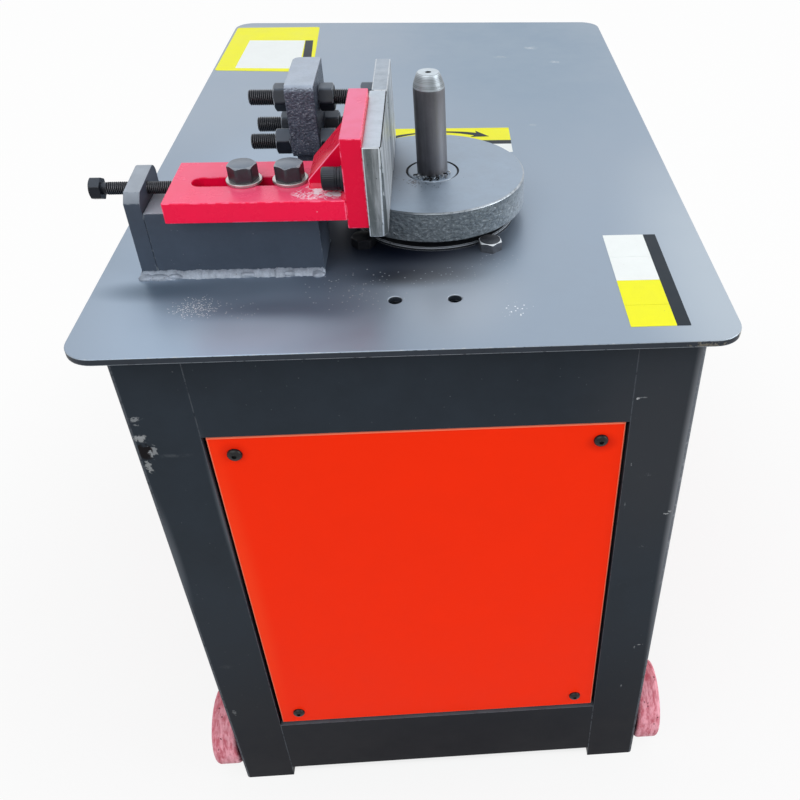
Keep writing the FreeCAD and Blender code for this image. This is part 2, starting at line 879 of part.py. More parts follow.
def make_panel_screws():
    """Domed screws through the panels into the strips."""
    reach = panel_tray + strip_thickness
    crown = panel_screw_head_radius * panel_screw_crown_share
    brim = panel_screw_head_height * panel_screw_brim_share
    screws = []
    for y, z in side_screw_places:
        x0 = -half_width + panel_recess
        screws.append(turned_x([
            (0, x0 - panel_screw_head_height),
            (crown, x0 - panel_screw_head_height),
            (panel_screw_head_radius, x0 - brim),
            (panel_screw_head_radius, x0),
            (panel_screw_radius, x0),
            (panel_screw_radius, x0 + reach),
            (0, x0 + reach),
        ], (y, z)))
    screws += [mirrored_x(s) for s in screws]
    front = []
    for x, z in front_screw_places:
        y0 = -half_depth + panel_recess
        profile = [
            (0, y0 - panel_screw_head_height),
            (crown, y0 - panel_screw_head_height),
            (panel_screw_head_radius, y0 - brim),
            (panel_screw_head_radius, y0),
            (panel_screw_radius, y0),
            (panel_screw_radius, y0 + reach),
            (0, y0 + reach),
        ]
        face = closed_face([V(x + r, y, z) for r, y in profile])
        front.append(face.revolve(V(x, 0, z), V(0, 1, 0), 360))
    return screws + front + [mirrored_y(s) for s in front]


# Bending head

def make_base_block():
    """Solid bar welded on the table, with two tapped holes for the clamp bolts."""
    block = box(block_left, block_right, block_front, block_front + block_depth, working_height, block_top)
    drill_end = block_top - clamp_thread_depth - drill_spare
    cuts = [rod_z(clamp_bolt_radius + running, (x, slide_middle_y), drill_end, block_top + past)
            for x in clamp_x]
    return block.cut(cuts)


def make_lug():
    """Upright at the left end of the block: chamfered in front, rounded behind, tapped for the screw."""
    y0 = block_front
    y1 = block_front + lug_depth
    top = working_height + lug_height
    nose = V(lug_left, y0, working_height + lug_front_height)
    brow = V(lug_left, y0 + lug_slope_run, working_height + lug_slope_top)
    corner = V(lug_left, y1, top - lug_back_radius)
    crest = V(lug_left, y1 - lug_back_radius, top)
    bend = lug_back_radius * (1 - math.cos(math.radians(45)))
    edges = [
        Part.makeLine(V(lug_left, y0, working_height), nose),
        Part.makeLine(nose, brow),
        Part.makeLine(brow, crest),
        Part.Arc(crest, V(lug_left, y1 - bend, top - bend), corner).toShape(),
        Part.makeLine(corner, V(lug_left, y1, working_height)),
        Part.makeLine(V(lug_left, y1, working_height), V(lug_left, y0, working_height)),
    ]
    lug = Part.Face(Part.Wire(edges)).extrude(V(lug_thickness, 0, 0))
    return lug.cut(rod_x(screw_radius + running, lug_left - past, block_left + past, (screw_y, screw_z)))


def make_adjusting_screw():
    """Hexagon screw through the lug; its tip pushes the sliding plate."""
    head_right = lug_left - screw_free_length
    head_left = head_right - screw_head_length
    head = hexagon(screw_head_flats, (head_left, screw_y, screw_z), "X", screw_head_length, 30)
    shank = rod_x(screw_radius, head_right - past, slide_left - side_gap, (screw_y, screw_z))
    return head.fuse(shank).removeSplitter()


def make_slide_plate():
    """Thick plate with a long slot for the clamp bolts."""
    plate = box(slide_left, slide_right, slide_front, slide_back, slide_bottom, slide_top)
    left = clamp_x[0] - clamp_bolt_radius - slot_spare_left + slot_radius
    right = clamp_x[1] + clamp_bolt_radius + slot_spare_right - slot_radius
    slot = box(left, right, slide_middle_y - slot_radius, slide_middle_y + slot_radius,
               slide_bottom - past, slide_top + past)
    ends = [rod_z(slot_radius, (x, slide_middle_y), slide_bottom - past, slide_top + past)
            for x in (left, right)]
    return plate.cut(slot.fuse(ends))


def make_jaw_plate():
    """Upright plate welded to the end of the slide plate; the front jaw is screwed to it."""
    plate = box(jaw_plate_left, jaw_plate_right, jaw_plate_front, jaw_plate_back,
                jaw_plate_bottom, jaw_plate_top)
    cuts = [rod_x(jaw_screw_radius + hole_play, jaw_plate_left - past, jaw_plate_right + past, at)
            for at in jaw_screws]
    return plate.cut(cuts)


def make_gusset():
    """Thick stay in the corner between the slide plate and the jaw plate, its toe cut off square."""
    y0 = slide_front + gusset_setback
    face = closed_face([
        V(jaw_plate_left, y0, slide_top),
        V(jaw_plate_left - gusset_leg, y0, slide_top),
        V(jaw_plate_left - gusset_leg, y0, slide_top + gusset_toe),
        V(jaw_plate_left, y0, slide_top + gusset_height),
    ])
    return face.extrude(V(0, gusset_thickness, 0))


def make_clamp_bolts():
    """Two hexagon bolts through the slot into the base block."""
    seat = slide_top + side_gap + clamp_washer_thickness
    bolts = []
    for turn, x in zip(clamp_bolt_turns, clamp_x):
        head = hexagon(clamp_bolt_flats, (x, slide_middle_y, seat), "Z", clamp_head_height, turn)
        shank = rod_z(clamp_bolt_radius, (x, slide_middle_y), block_top - clamp_thread_depth, seat + past)
        bolts.append(head.fuse(shank).removeSplitter())
    return bolts


def make_clamp_washers():
    """Plain washers under the clamp bolts."""
    z0 = slide_top + side_gap
    return [ring_z(clamp_washer_radius, clamp_bolt_radius + hole_play, (x, slide_middle_y), z0,
                   z0 + clamp_washer_thickness) for x in clamp_x]


def make_front_jaw():
    """Bare steel jaw; its front edge is ground away, more at the foot than at the top."""
    bottom = front_jaw_bottom
    top = bottom + front_jaw_height
    jaw = box(front_jaw_left, front_jaw_right, front_jaw_front, front_jaw_back, bottom, top)
    x1 = front_jaw_right
    y0 = front_jaw_front
    foot_run = front_jaw_chamfer_foot * front_jaw_chamfer_slant
    top_cut = closed_face([
        V(x1 + past, y0 - past, top + hair),
        V(x1 + past, y0 + front_jaw_chamfer_top + past, top + hair),
        V(x1 - front_jaw_chamfer_top - past, y0 - past, top + hair),
    ])
    foot_cut = closed_face([
        V(x1 + past, y0 - past, bottom - hair),
        V(x1 + past, y0 + foot_run + past, bottom - hair),
        V(x1 - front_jaw_chamfer_foot - past, y0 - past, bottom - hair),
    ])
    wedge = Part.makeLoft([foot_cut.OuterWire, top_cut.OuterWire], True, True)
    cuts = [wedge]
    for at in jaw_screws:
        cuts.append(rod_x(jaw_screw_radius + running, front_jaw_left - past,
                          front_jaw_left + jaw_screw_reach + past, at))
    return jaw.cut(cuts)


def make_jaw_screws():
    """Two cap screws with a lock washer stack, through the jaw plate into the front jaw."""
    solids = []
    for at in jaw_screws:
        washer_left = jaw_plate_left - jaw_screw_washer_thickness
        head_left = washer_left - jaw_screw_head_length
        head = turned_x([
            (0, head_left + jaw_screw_socket_depth),
            (jaw_screw_socket_radius, head_left + jaw_screw_socket_depth),
            (jaw_screw_socket_radius, head_left),
            (jaw_screw_head_radius - jaw_screw_edge, head_left),
            (jaw_screw_head_radius, head_left + jaw_screw_edge),
            (jaw_screw_head_radius, washer_left),
            (jaw_screw_radius, washer_left),
            (jaw_screw_radius, front_jaw_left + jaw_screw_reach),
            (0, front_jaw_left + jaw_screw_reach),
        ], at)
        middle = (washer_left + jaw_plate_left) / 2
        washer = turned_x([
            (jaw_screw_radius + hole_play, washer_left),
            (jaw_screw_head_radius, washer_left),
            (jaw_screw_head_radius, middle),
            (jaw_screw_washer_radius, middle),
            (jaw_screw_washer_radius, jaw_plate_left),
            (jaw_screw_radius + hole_play, jaw_plate_left),
        ], at)
        solids += [head, washer]
    return solids


def make_rear_jaw():
    """Bare steel jaw behind the front one, tapped for three studs."""
    z0 = disc_top + jaw_lift
    jaw = box(rear_jaw_left, rear_jaw_right, rear_jaw_front, rear_jaw_back, z0, z0 + rear_jaw_height)
    cuts = [rod_x(stud_radius + running, rear_jaw_left - past, rear_jaw_left + stud_reach + past, at)
            for at in studs]
    return jaw.cut(cuts)


def make_studs():
    """Three long studs from the rear jaw through the abutment."""
    return [rod_x(stud_radius, stud_left, rear_jaw_left + stud_reach, at) for at in studs]


def make_stud_nuts():
    """A nut on each side of the abutment on every stud."""
    nuts = []
    for turn, at in zip(stud_nut_turns, studs):
        for x0 in (abutment_left - stud_nut_thickness - side_gap, abutment_right + side_gap):
            nut = hexagon(stud_nut_flats, (x0, at[0], at[1]), "X", stud_nut_thickness, turn)
            nuts.append(nut.cut(rod_x(stud_radius + running, x0 - past, x0 + stud_nut_thickness + past, at)))
    return nuts


def make_jam_nuts():
    """A nut that locks each stud against the back of the rear jaw."""
    nuts = []
    for turn, at in zip(reversed(stud_nut_turns), studs):
        x0 = rear_jaw_left - jam_nut_thickness
        nut = hexagon(stud_nut_flats, (x0, at[0], at[1]), "X", jam_nut_thickness, turn)
        nuts.append(nut.cut(rod_x(stud_radius + running, x0 - past, rear_jaw_left + past, at)))
    return nuts


def make_abutment():
    """Rough cast upright: a thick head with three stud holes, a neck, and a foot welded to the table."""
    y0 = stud_centre_y - abutment_front_setback
    y1 = y0 + abutment_depth
    head = box(abutment_left, abutment_right, y0, y1, working_height + abutment_underside,
               working_height + abutment_top)
    head = round_edges(head, abutment_rear_corner, lambda e: is_upright(e) and e.BoundBox.YMin > y1 - near
                       and e.BoundBox.XMax < abutment_left + near)
    head = round_edges(head, abutment_corner, lambda e: is_along_x(e) and e.BoundBox.YMax < y0 + near)
    foot_top = working_height + abutment_foot_thickness
    neck = box(abutment_left + abutment_neck_relief, abutment_right - abutment_neck_relief,
               y0 + abutment_neck_inset, y1 - abutment_neck_inset,
               foot_top - past, working_height + abutment_underside + abutment_corner)
    foot = box(abutment_left - abutment_foot_left_reach, abutment_right + abutment_foot_right_reach,
               y0, y1, working_height, foot_top)
    body = head.fuse([neck, foot]).removeSplitter()
    cuts = [rod_x(stud_radius + abutment_hole_play, abutment_left - past, abutment_right + past, at)
            for at in studs]
    return body.cut(cuts)


def make_disc():
    """Thick cast disc with a machined top, bored for the spindle head."""
    bore = spindle_head_radius + fit
    return turned_z([
        (bore, disc_bottom),
        (disc_radius - disc_edge_chamfer, disc_bottom),
        (disc_radius, disc_bottom + disc_edge_chamfer),
        (disc_radius, disc_top - disc_edge_chamfer),
        (disc_radius - disc_edge_chamfer, disc_top),
        (bore + disc_groove, disc_top),
        (bore, disc_top - disc_groove),
    ], spindle_at)


def make_pin():
    """Centre pin: a turned-down seat in the spindle, a plain part for the rollers, a coned end."""
    return turned_z([
        (0, disc_top - pin_seat_depth),
        (pin_seat_radius, disc_top - pin_seat_depth),
        (pin_seat_radius, disc_top + pin_undercut),
        (pin_radius, disc_top + pin_undercut),
        (pin_radius, pin_top - pin_cone_height),
        (pin_cone_top_radius, pin_top),
        (pin_centre_radius, pin_top),
        (0, pin_top - pin_centre_depth),
    ], spindle_at)


# Drive

def make_spindle():
    """Stepped spindle: foot journal, gear seat, main journal, flange under the disc, head in the disc."""
    foot = case_bottom - foot_bearing_height + side_gap
    seat_bottom = main_gear_bottom - pinion_overlap
    seat_top = main_gear_top + pinion_overlap
    bore = pin_seat_radius + fit
    return turned_z([
        (0, foot),
        (foot_journal_radius, foot),
        (foot_journal_radius, case_bottom + shoulder_gap),
        (spindle_shank_radius, case_bottom + shoulder_gap),
        (spindle_shank_radius, seat_bottom),
        (main_seat_radius, seat_bottom),
        (main_seat_radius, seat_top),
        (main_journal_radius, seat_top),
        (main_journal_radius, disc_bottom - spindle_flange_thickness),
        (spindle_flange_radius, disc_bottom - spindle_flange_thickness),
        (spindle_flange_radius, disc_bottom),
        (spindle_head_radius, disc_bottom),
        (spindle_head_radius, disc_top - spindle_edge),
        (spindle_head_radius - spindle_edge, disc_top),
        (bore, disc_top),
        (bore, disc_top - pin_seat_depth),
        (0, disc_top - pin_seat_depth),
    ], spindle_at)


def make_mid_shaft():
    """Layshaft with its pinion cut on it."""
    foot = case_bottom - mid_bearing_height + side_gap
    head = case_ceiling - side_gap
    shaft = turned_z([
        (0, foot),
        (mid_journal_radius, foot),
        (mid_journal_radius, case_bottom + shoulder_gap),
        (mid_seat_radius, case_bottom + shoulder_gap),
        (mid_seat_radius, upper_boss_bottom - shoulder_gap),
        (mid_journal_radius, upper_boss_bottom - shoulder_gap),
        (mid_journal_radius, head),
        (0, head),
    ], mid_at)
    pinion = gear_teeth(main_module, pinion_teeth, mid_at, main_gear_bottom - pinion_overlap,
                        main_gear_top + pinion_overlap, -90, False)
    return shaft.fuse(pinion).removeSplitter()


def make_input_shaft():
    """Input shaft with its pinion cut on it; the lower end carries the large pulley."""
    head = case_ceiling - side_gap
    shaft = turned_z([
        (0, pulley_bottom),
        (input_journal_radius, pulley_bottom),
        (input_journal_radius, case_bottom + shoulder_gap),
        (input_shank_radius, case_bottom + shoulder_gap),
        (input_shank_radius, upper_boss_bottom - shoulder_gap),
        (input_journal_radius, upper_boss_bottom - shoulder_gap),
        (input_journal_radius, head),
        (0, head),
    ], input_at)
    pinion = gear_teeth(mid_module, pinion_teeth, input_at, mid_gear_bottom - pinion_overlap,
                        mid_gear_top + pinion_overlap, -90, False)
    return shaft.fuse(pinion).removeSplitter()


def make_bearings():
    """Two bearings on each of the three shafts."""
    upper = case_ceiling
    return [
        bearing(spindle_at, main_journal_radius, main_bearing_radius,
                case_top - main_bearing_height, case_top),
        bearing(spindle_at, foot_journal_radius, foot_bearing_radius, case_bottom - foot_bearing_height,
                case_bottom),
        bearing(mid_at, mid_journal_radius, mid_bearing_radius, upper - mid_bearing_height, upper),
        bearing(mid_at, mid_journal_radius, mid_bearing_radius,
                case_bottom - mid_bearing_height, case_bottom),
        bearing(input_at, input_journal_radius, input_bearing_radius, upper - input_bearing_height, upper),
        bearing(input_at, input_journal_radius, input_bearing_radius, case_bottom - input_bearing_height,
                case_bottom),
    ]


def make_gear_case():
    """Cast case hung under the table: walls that follow the three shafts, bosses, and a bottom flange."""
    outer_main = case_inner_main + case_wall
    outer_end = case_inner_end + case_wall
    body = drum(spindle_at, outer_main, input_at, outer_end, case_bottom, case_top)
    flange = drum(spindle_at, outer_main + case_flange, input_at, outer_end + case_flange, case_bottom,
                  case_bottom + case_flange_thickness)
    cavity = drum(spindle_at, case_inner_main, input_at, case_inner_end, case_bottom - past, case_ceiling)
    case = body.fuse(flange).cut(cavity)
    main_boss_bottom = case_ceiling - main_boss_drop
    bosses = [
        rod_z(main_bearing_radius + boss_wall, spindle_at, main_boss_bottom, case_ceiling + past),
        rod_z(mid_bearing_radius + boss_wall, mid_at, upper_boss_bottom, case_ceiling + past),
        rod_z(input_bearing_radius + boss_wall, input_at, upper_boss_bottom, case_ceiling + past),
    ]
    case = case.fuse(bosses).removeSplitter()
    cuts = [
        rod_z(main_bearing_radius + fit, spindle_at, case_top - main_bearing_height, case_top + past),
        rod_z(main_bearing_radius - boss_wall, spindle_at, main_boss_bottom - past, case_top),
        rod_z(mid_bearing_radius + fit, mid_at, upper_boss_bottom - past, case_ceiling),
        rod_z(input_bearing_radius + fit, input_at, upper_boss_bottom - past, case_ceiling),
    ]
    for spot in case_bolt_spots:
        cuts.append(rod_z(case_bolt_radius + running, spot, case_top - case_bolt_depth - past,
                          case_top + past))
    for spot in cap_screw_spots:
        cuts.append(rod_z(cover_screw_radius + running, spot,
                          case_top - cover_screw_depth + cap_screw_short - past, case_top + past))
    for spot in cover_screw_spots():
        cuts.append(rod_z(cover_screw_radius + running, spot, case_bottom - past,
                          case_bottom + cover_screw_depth + past))
    return case.cut(cuts)


def make_case_cover():
    """Cover under the case with the three lower bearing seats."""
    outer_main = case_inner_main + case_wall + case_flange
    outer_end = case_inner_end + case_wall + case_flange
    plate = drum(spindle_at, outer_main, input_at, outer_end, cover_bottom, case_bottom)
    bosses = [
        rod_z(foot_bearing_radius + boss_wall, spindle_at, lower_boss_bottom, cover_bottom + past),
        rod_z(mid_bearing_radius + boss_wall, mid_at, lower_boss_bottom, cover_bottom + past),
        rod_z(input_bearing_radius + boss_wall, input_at, lower_boss_bottom, cover_bottom + past),
    ]
    cover = plate.fuse(bosses).removeSplitter()
    cuts = [
        rod_z(foot_bearing_radius + fit, spindle_at, case_bottom - foot_bearing_height, case_bottom + past),
        rod_z(mid_bearing_radius + fit, mid_at, case_bottom - mid_bearing_height, case_bottom + past),
        rod_z(input_bearing_radius + fit, input_at, case_bottom - input_bearing_height, case_bottom + past),
        rod_z(input_journal_radius + shaft_hole_play, input_at, lower_boss_bottom - past, case_bottom + past),
    ]
    for spot in cover_screw_spots():
        cuts.append(rod_z(cover_screw_radius + hole_play, spot, cover_bottom - past, case_bottom + past))
    return cover.cut(cuts)


def make_bearing_cap():
    """Round cap on the table that holds the main bearing down; its rim shows under the disc."""
    spigot = main_bearing_radius - fit
    bore = main_journal_radius + cap_shaft_play
    cap = turned_z([
        (bore, case_top + side_gap),
        (spigot, case_top + side_gap),
        (spigot, working_height),
        (cap_radius, working_height),
        (cap_radius, working_height + cap_thickness - cap_edge),
        (cap_radius - cap_edge, working_height + cap_thickness),
        (bore, working_height + cap_thickness),
    ], spindle_at)
    cuts = [rod_z(cover_screw_radius + hole_play, spot, working_height - past,
                  working_height + cap_thickness + past) for spot in cap_screw_spots]
    return cap.cut(cuts)


def make_case_bolts():
    """Four hexagon bolts on the table that carry the gear case."""
    bolts = []
    for turn, spot in zip(case_bolt_head_turns, case_bolt_spots):
        head = hexagon(case_bolt_flats, (spot[0], spot[1], working_height), "Z", case_bolt_head_height, turn)
        shank = rod_z(case_bolt_radius, spot, case_top - case_bolt_depth, working_height + past)
        bolts.append(head.fuse(shank).removeSplitter())
    return bolts


def make_cover_screws():
    """Small hexagon screws: round the case cover from below, and four in the bearing cap from above."""
    screws = []
    for spot in cover_screw_spots():
        z0 = cover_bottom - cover_screw_head_height
        head = hexagon(cover_screw_flats, (spot[0], spot[1], z0), "Z", cover_screw_head_height)
        shank = rod_z(cover_screw_radius, spot, cover_bottom - past, case_bottom + cover_screw_depth)
        screws.append(head.fuse(shank).removeSplitter())
    for spot in cap_screw_spots:
        z0 = working_height + cap_thickness
        head = hexagon(cover_screw_flats, (spot[0], spot[1], z0), "Z", cover_screw_head_height)
        shank = rod_z(cover_screw_radius, spot, case_top - cover_screw_depth + cap_screw_short, z0 + past)
        screws.append(head.fuse(shank).removeSplitter())
    return screws


def groove_centres():
    """Heights of the middle of each belt."""
    middle = (pulley_top + pulley_bottom) / 2
    return [middle + (k - (belt_count - 1) / 2) * belt_pitch for k in range(belt_count)]


def make_pulley(at, pitch_radius, bore, webbed):
    """A pulley with one groove per belt; a large one has a thin web between rim and hub."""
    rim = pitch_radius + belt_thickness / 2 - pulley_rim_drop
    root = pitch_radius - belt_thickness / 2 - pulley_root_spare
    profile = [(bore, pulley_bottom), (rim, pulley_bottom)]
    slope = (belt_top_width - belt_bottom_width) / 2 / belt_thickness
    top_half = belt_top_width / 2 + belt_clearance - pulley_rim_drop * slope
    root_half = belt_bottom_width / 2 + belt_clearance - pulley_root_spare * slope
    for z in groove_centres():
        profile += [(rim, z - top_half), (root, z - root_half), (root, z + root_half), (rim, z + top_half)]
    profile += [(rim, pulley_top), (bore, pulley_top)]
    pulley = turned_z(profile, at)
    if webbed:
        hollow = (pulley_width - pulley_web) / 2
        inside = root - pulley_rim_wall
        pulley = pulley.cut([
            ring_z(inside, pulley_hub_radius, at, pulley_top - hollow, pulley_top + past),
            ring_z(inside, pulley_hub_radius, at, pulley_bottom - past, pulley_bottom + hollow),
        ])
    return pulley


def make_belt(z):
    """One V belt: its section turned round each pulley and drawn along the two straight runs."""
    big = input_pulley_pitch_radius
    small = motor_pulley_pitch_radius
    span = belt_centre_distance
    tilt = math.asin((big - small) / span)
    top = belt_thickness / 2
    half_top = belt_top_width / 2
    half_bottom = belt_bottom_width / 2

    def section(at, radius, angle):
        """The belt's section standing on a radius at an angle in plan."""
        ux = math.cos(angle)
        uy = math.sin(angle)
        outer = radius + top
        inner = radius - top
        return closed_face([
            V(at[0] + outer * ux, at[1] + outer * uy, z - half_top),
            V(at[0] + outer * ux, at[1] + outer * uy, z + half_top),
            V(at[0] + inner * ux, at[1] + inner * uy, z + half_bottom),
            V(at[0] + inner * ux, at[1] + inner * uy, z - half_bottom),
        ])

    right = tilt
    left = math.pi - tilt
    run = math.sqrt(span * span - (big - small) ** 2)
    big_wrap = 180 + 2 * math.degrees(tilt)
    small_wrap = 360 - big_wrap
    round_big = section(input_at, big, left).revolve(V(input_at[0], input_at[1], 0), V(0, 0, 1), big_wrap)
    round_small = section(motor_at, small, right).revolve(V(motor_at[0], motor_at[1], 0), V(0, 0, 1),
                                                          small_wrap)
    right_run = section(input_at, big, right).extrude(V(-math.sin(tilt) * run, math.cos(tilt) * run, 0))
    left_run = section(input_at, big, left).extrude(V(math.sin(tilt) * run, math.cos(tilt) * run, 0))
    return round_big.fuse([round_small, right_run, left_run]).removeSplitter()


def make_motor_housing():
    """Flanged motor, shaft up: finned body, fan cover below and a terminal box on its side."""
    top = motor_plate_bottom
    flange_bottom = top - motor_flange_thickness
    body_bottom = flange_bottom - motor_body_length
    body = rod_z(motor_body_radius, motor_at, body_bottom, flange_bottom + past)
    flange = rod_z(motor_flange_radius, motor_at, flange_bottom, top)
    fins = []
    for k in range(motor_fin_count):
        fin = box(motor_body_radius - motor_fin_sink, motor_fin_radius,
                  -motor_fin_thickness / 2, motor_fin_thickness / 2,
                  body_bottom, flange_bottom - motor_fin_gap)
        fin.rotate(V(0, 0, 0), V(0, 0, 1), 360.0 * k / motor_fin_count)
        fin.translate(V(motor_at[0], motor_at[1], 0))
        fins.append(fin)
    cover = rod_z(fan_cover_radius, motor_at, body_bottom - fan_cover_length, body_bottom)
    cover = round_edges(cover, fan_cover_rounding,
                        lambda e: e.BoundBox.ZMax < body_bottom - fan_cover_length + tiny)
    box_left = motor_at[0] + motor_body_radius
    box_top = flange_bottom - terminal_box_drop
    terminal_box = box(box_left - terminal_box_sink, box_left + terminal_box_reach,
                       motor_at[1] - terminal_box_width / 2, motor_at[1] + terminal_box_width / 2,
                       box_top - terminal_box_height, box_top)
    housing = body.fuse(fins + [flange, cover, terminal_box]).removeSplitter()
    cuts = [rod_z(motor_shaft_radius + running, motor_at, top - motor_shaft_depth - drill_spare, top + past)]
    for spot in motor_bolt_spots():
        cuts.append(rod_z(motor_bolt_radius + running, spot, flange_bottom - past, top + past))
    return housing.cut(cuts)


def motor_bolt_spots():
    """Bolts of the motor flange, at 45 degrees."""
    spots = []
    for k in range(4):
        a = math.radians(45 + 90 * k)
        spots.append((motor_at[0] + motor_bolt_circle * math.cos(a),
                      motor_at[1] + motor_bolt_circle * math.sin(a)))
    return spots


def hanger_bolt_spots():
    """Bolts between the motor plate and the feet of its hangers."""
    x = hanger_gap / 2 - hanger_foot / 2
    y = hanger_depth / 2 - hanger_bolt_inset
    return [(motor_at[0] + sx * x, motor_at[1] + sy * y) for sx in (-1, 1) for sy in (-1, 1)]


def make_motor_hangers():
    """Two folded plates that hang from the table and carry the motor plate."""
    x1 = motor_at[0] - hanger_gap / 2
    y0 = motor_at[1] - hanger_depth / 2
    y1 = motor_at[1] + hanger_depth / 2
    web = box(x1 - hanger_thickness, x1, y0, y1, motor_plate_top, table_under)
    foot = box(x1 - hanger_thickness, x1 + hanger_foot, y0, y1, motor_plate_top,
               motor_plate_top + hanger_thickness)
    left = web.fuse(foot).removeSplitter()
    right = left.mirror(V(motor_at[0], 0, 0), V(1, 0, 0))
    cuts = [rod_z(motor_bolt_radius + running, spot, motor_plate_top - past,
                  motor_plate_top + hanger_thickness + past) for spot in hanger_bolt_spots()]
    return [left.cut(cuts), right.cut(cuts)]


def make_motor_plate():
    """Plate that carries the motor; slots along Y let it slide to tighten the belts."""
    x = hanger_gap / 2 + hanger_thickness
    y = hanger_depth / 2 + motor_plate_margin
    plate = box(motor_at[0] - x, motor_at[0] + x, motor_at[1] - y, motor_at[1] + y,
                motor_plate_bottom, motor_plate_top)
    cuts = [rod_z(motor_shaft_radius + motor_plate_hole_play, motor_at, motor_plate_bottom - past,
                  motor_plate_top + past)]
    for spot in motor_bolt_spots():
        cuts.append(rod_z(motor_bolt_radius + hole_play, spot, motor_plate_bottom - past,
                          motor_plate_top + past))
    r = motor_bolt_radius + hole_play
    reach = hanger_slot_length / 2 - r
    for spot in hanger_bolt_spots():
        slot = box(spot[0] - r, spot[0] + r, spot[1] - reach, spot[1] + reach,
                   motor_plate_bottom - past, motor_plate_top + past)
        for side in (-1, 1):
            slot = slot.fuse(rod_z(r, (spot[0], spot[1] + side * reach), motor_plate_bottom - past,
                                   motor_plate_top + past))
        cuts.append(slot)
    return plate.cut(cuts)


def make_motor_bolts():
    """Bolts down through the plate into the motor flange, and up through it into the hangers."""
    bolts = []
    for spot in motor_bolt_spots():
        head = hexagon(motor_bolt_flats, (spot[0], spot[1], motor_plate_top), "Z", motor_bolt_head_height)
        shank = rod_z(motor_bolt_radius, spot, motor_plate_bottom - motor_flange_thickness,
                      motor_plate_top + past)
        bolts.append(head.fuse(shank).removeSplitter())
    for spot in hanger_bolt_spots():
        z0 = motor_plate_bottom - motor_bolt_head_height
        head = hexagon(motor_bolt_flats, (spot[0], spot[1], z0), "Z", motor_bolt_head_height)
        shank = rod_z(motor_bolt_radius, spot, motor_plate_bottom - past, motor_plate_top + hanger_thickness)
        bolts.append(head.fuse(shank).removeSplitter())
    return bolts


def make_control_box():
    """Switchgear box on a strap that spans the two returns of the left top rail."""
    strap_left = -half_width + rail_return
    strap_right = strap_left + control_strap_thickness
    top = opening_top - control_box_drop
    bottom = top - control_box_height
    y0 = control_box_y - control_strap_depth / 2
    strap = box(strap_left, strap_right, y0, y0 + control_strap_depth, bottom + control_strap_rise,
                table_under)
    shell = box(strap_right, strap_right + control_box_width, control_box_y - control_box_depth / 2,
                control_box_y + control_box_depth / 2, bottom, top)
    shell = round_edges(shell, control_box_rounding,
                        lambda e: e.BoundBox.XMin > strap_right + control_box_width - tiny)
    seam_left = strap_right + control_box_width * control_box_seam_share
    seam = box(seam_left, seam_left + control_box_seam,
               control_box_y - control_box_depth / 2 - past, control_box_y + control_box_depth / 2 + past,
               bottom - past, top + past)
    core = box(strap_right, strap_right + control_box_width,
               control_box_y - control_box_depth / 2 + control_box_seam,
               control_box_y + control_box_depth / 2 - control_box_seam,
               bottom + control_box_seam, top - control_box_seam)
    shell = shell.cut(seam.cut(core))
    return [strap, shell]


def make_cable_gland():
    """Cable inlet in the rear bottom rail: lock nut inside, collar and dome outside, bored through."""
    z = foot_height + bottom_rail_height / 2
    y_wall = half_depth
    y_nut = y_wall - sheet - gland_nut_thickness
    y_dome = y_wall + gland_collar
    nut = hexagon(gland_flats, (gland_x, y_nut, z), "Y", gland_nut_thickness)
    collar = hexagon(gland_flats, (gland_x, y_wall, z), "Y", gland_collar)
    thread = rod_y(gland_thread_radius, y_nut - gland_thread_end, y_wall + past, (gland_x, z))
    dome = Part.makeCone(gland_dome_radius, gland_bore_radius + gland_mouth_wall, gland_dome_length,
                         V(gland_x, y_dome, z), V(0, 1, 0))
    body = thread.fuse([nut, collar, dome]).removeSplitter()
    return body.cut(rod_y(gland_bore_radius, y_nut - gland_thread_end - past,
                          y_dome + gland_dome_length + past, (gland_x, z)))


# Wheels

def make_wheel():
    """Left wheel: rounded tread, thin web, hub set back on the outside and long on the inside."""
    outer = -wheel_outer_x
    inner = outer + wheel_width
    middle = (outer + inner) / 2
    rim = wheel_radius - wheel_rim_thickness
    hub_outer = outer + wheel_hub_recess
    hub_inner = -half_width - axle_washer_thickness - 2 * side_gap
    step = wheel_shoulder * (1 - math.cos(math.radians(45)))
    return turned_x([
        (axle_radius + running, hub_outer),
        (wheel_hub_radius, hub_outer),
        (wheel_hub_radius, middle - wheel_web / 2),
        (rim, middle - wheel_web / 2),
        (rim + wheel_rim_draft, outer),
        (wheel_radius - wheel_shoulder, outer),
        (wheel_radius - step, outer + step),
        (wheel_radius, outer + wheel_shoulder),
        (wheel_radius, inner - wheel_shoulder),
        (wheel_radius - step, inner - step),
        (wheel_radius - wheel_shoulder, inner),
        (rim + wheel_rim_draft, inner),
        (rim, middle + wheel_web / 2),
        (wheel_hub_radius, middle + wheel_web / 2),
        (wheel_hub_radius, hub_inner),
        (axle_radius + running, hub_inner),
    ], (wheel_y, wheel_z))


def make_axle():
    """Round bar right across the cabinet, through both front posts."""
    bar = rod_x(axle_radius, -axle_end, axle_end, (wheel_y, wheel_z))
    pin_x = axle_end - split_pin_radius - split_pin_setback
    holes = [rod_z(split_pin_radius + fit, (side * pin_x, wheel_y), wheel_z - axle_radius - past,
                   wheel_z + axle_radius + past) for side in (-1, 1)]
    return bar.cut(holes)


def make_axle_plates():
    """Plates welded inside the front posts that carry the axle."""
    x0 = -half_width + sheet
    y0 = -half_depth + post_bend + axle_plate_gap
    y1 = -half_depth + post_side - sheet - axle_plate_rear_gap
    z0 = foot_height + axle_plate_gap
    plate = box(x0, x0 + axle_plate_thickness, y0, y1, z0, z0 + axle_plate_height)
    plate = plate.cut(rod_x(axle_radius + running, x0 - past, x0 + axle_plate_thickness + past,
                            (wheel_y, wheel_z)))
    return [plate, mirrored_x(plate)]


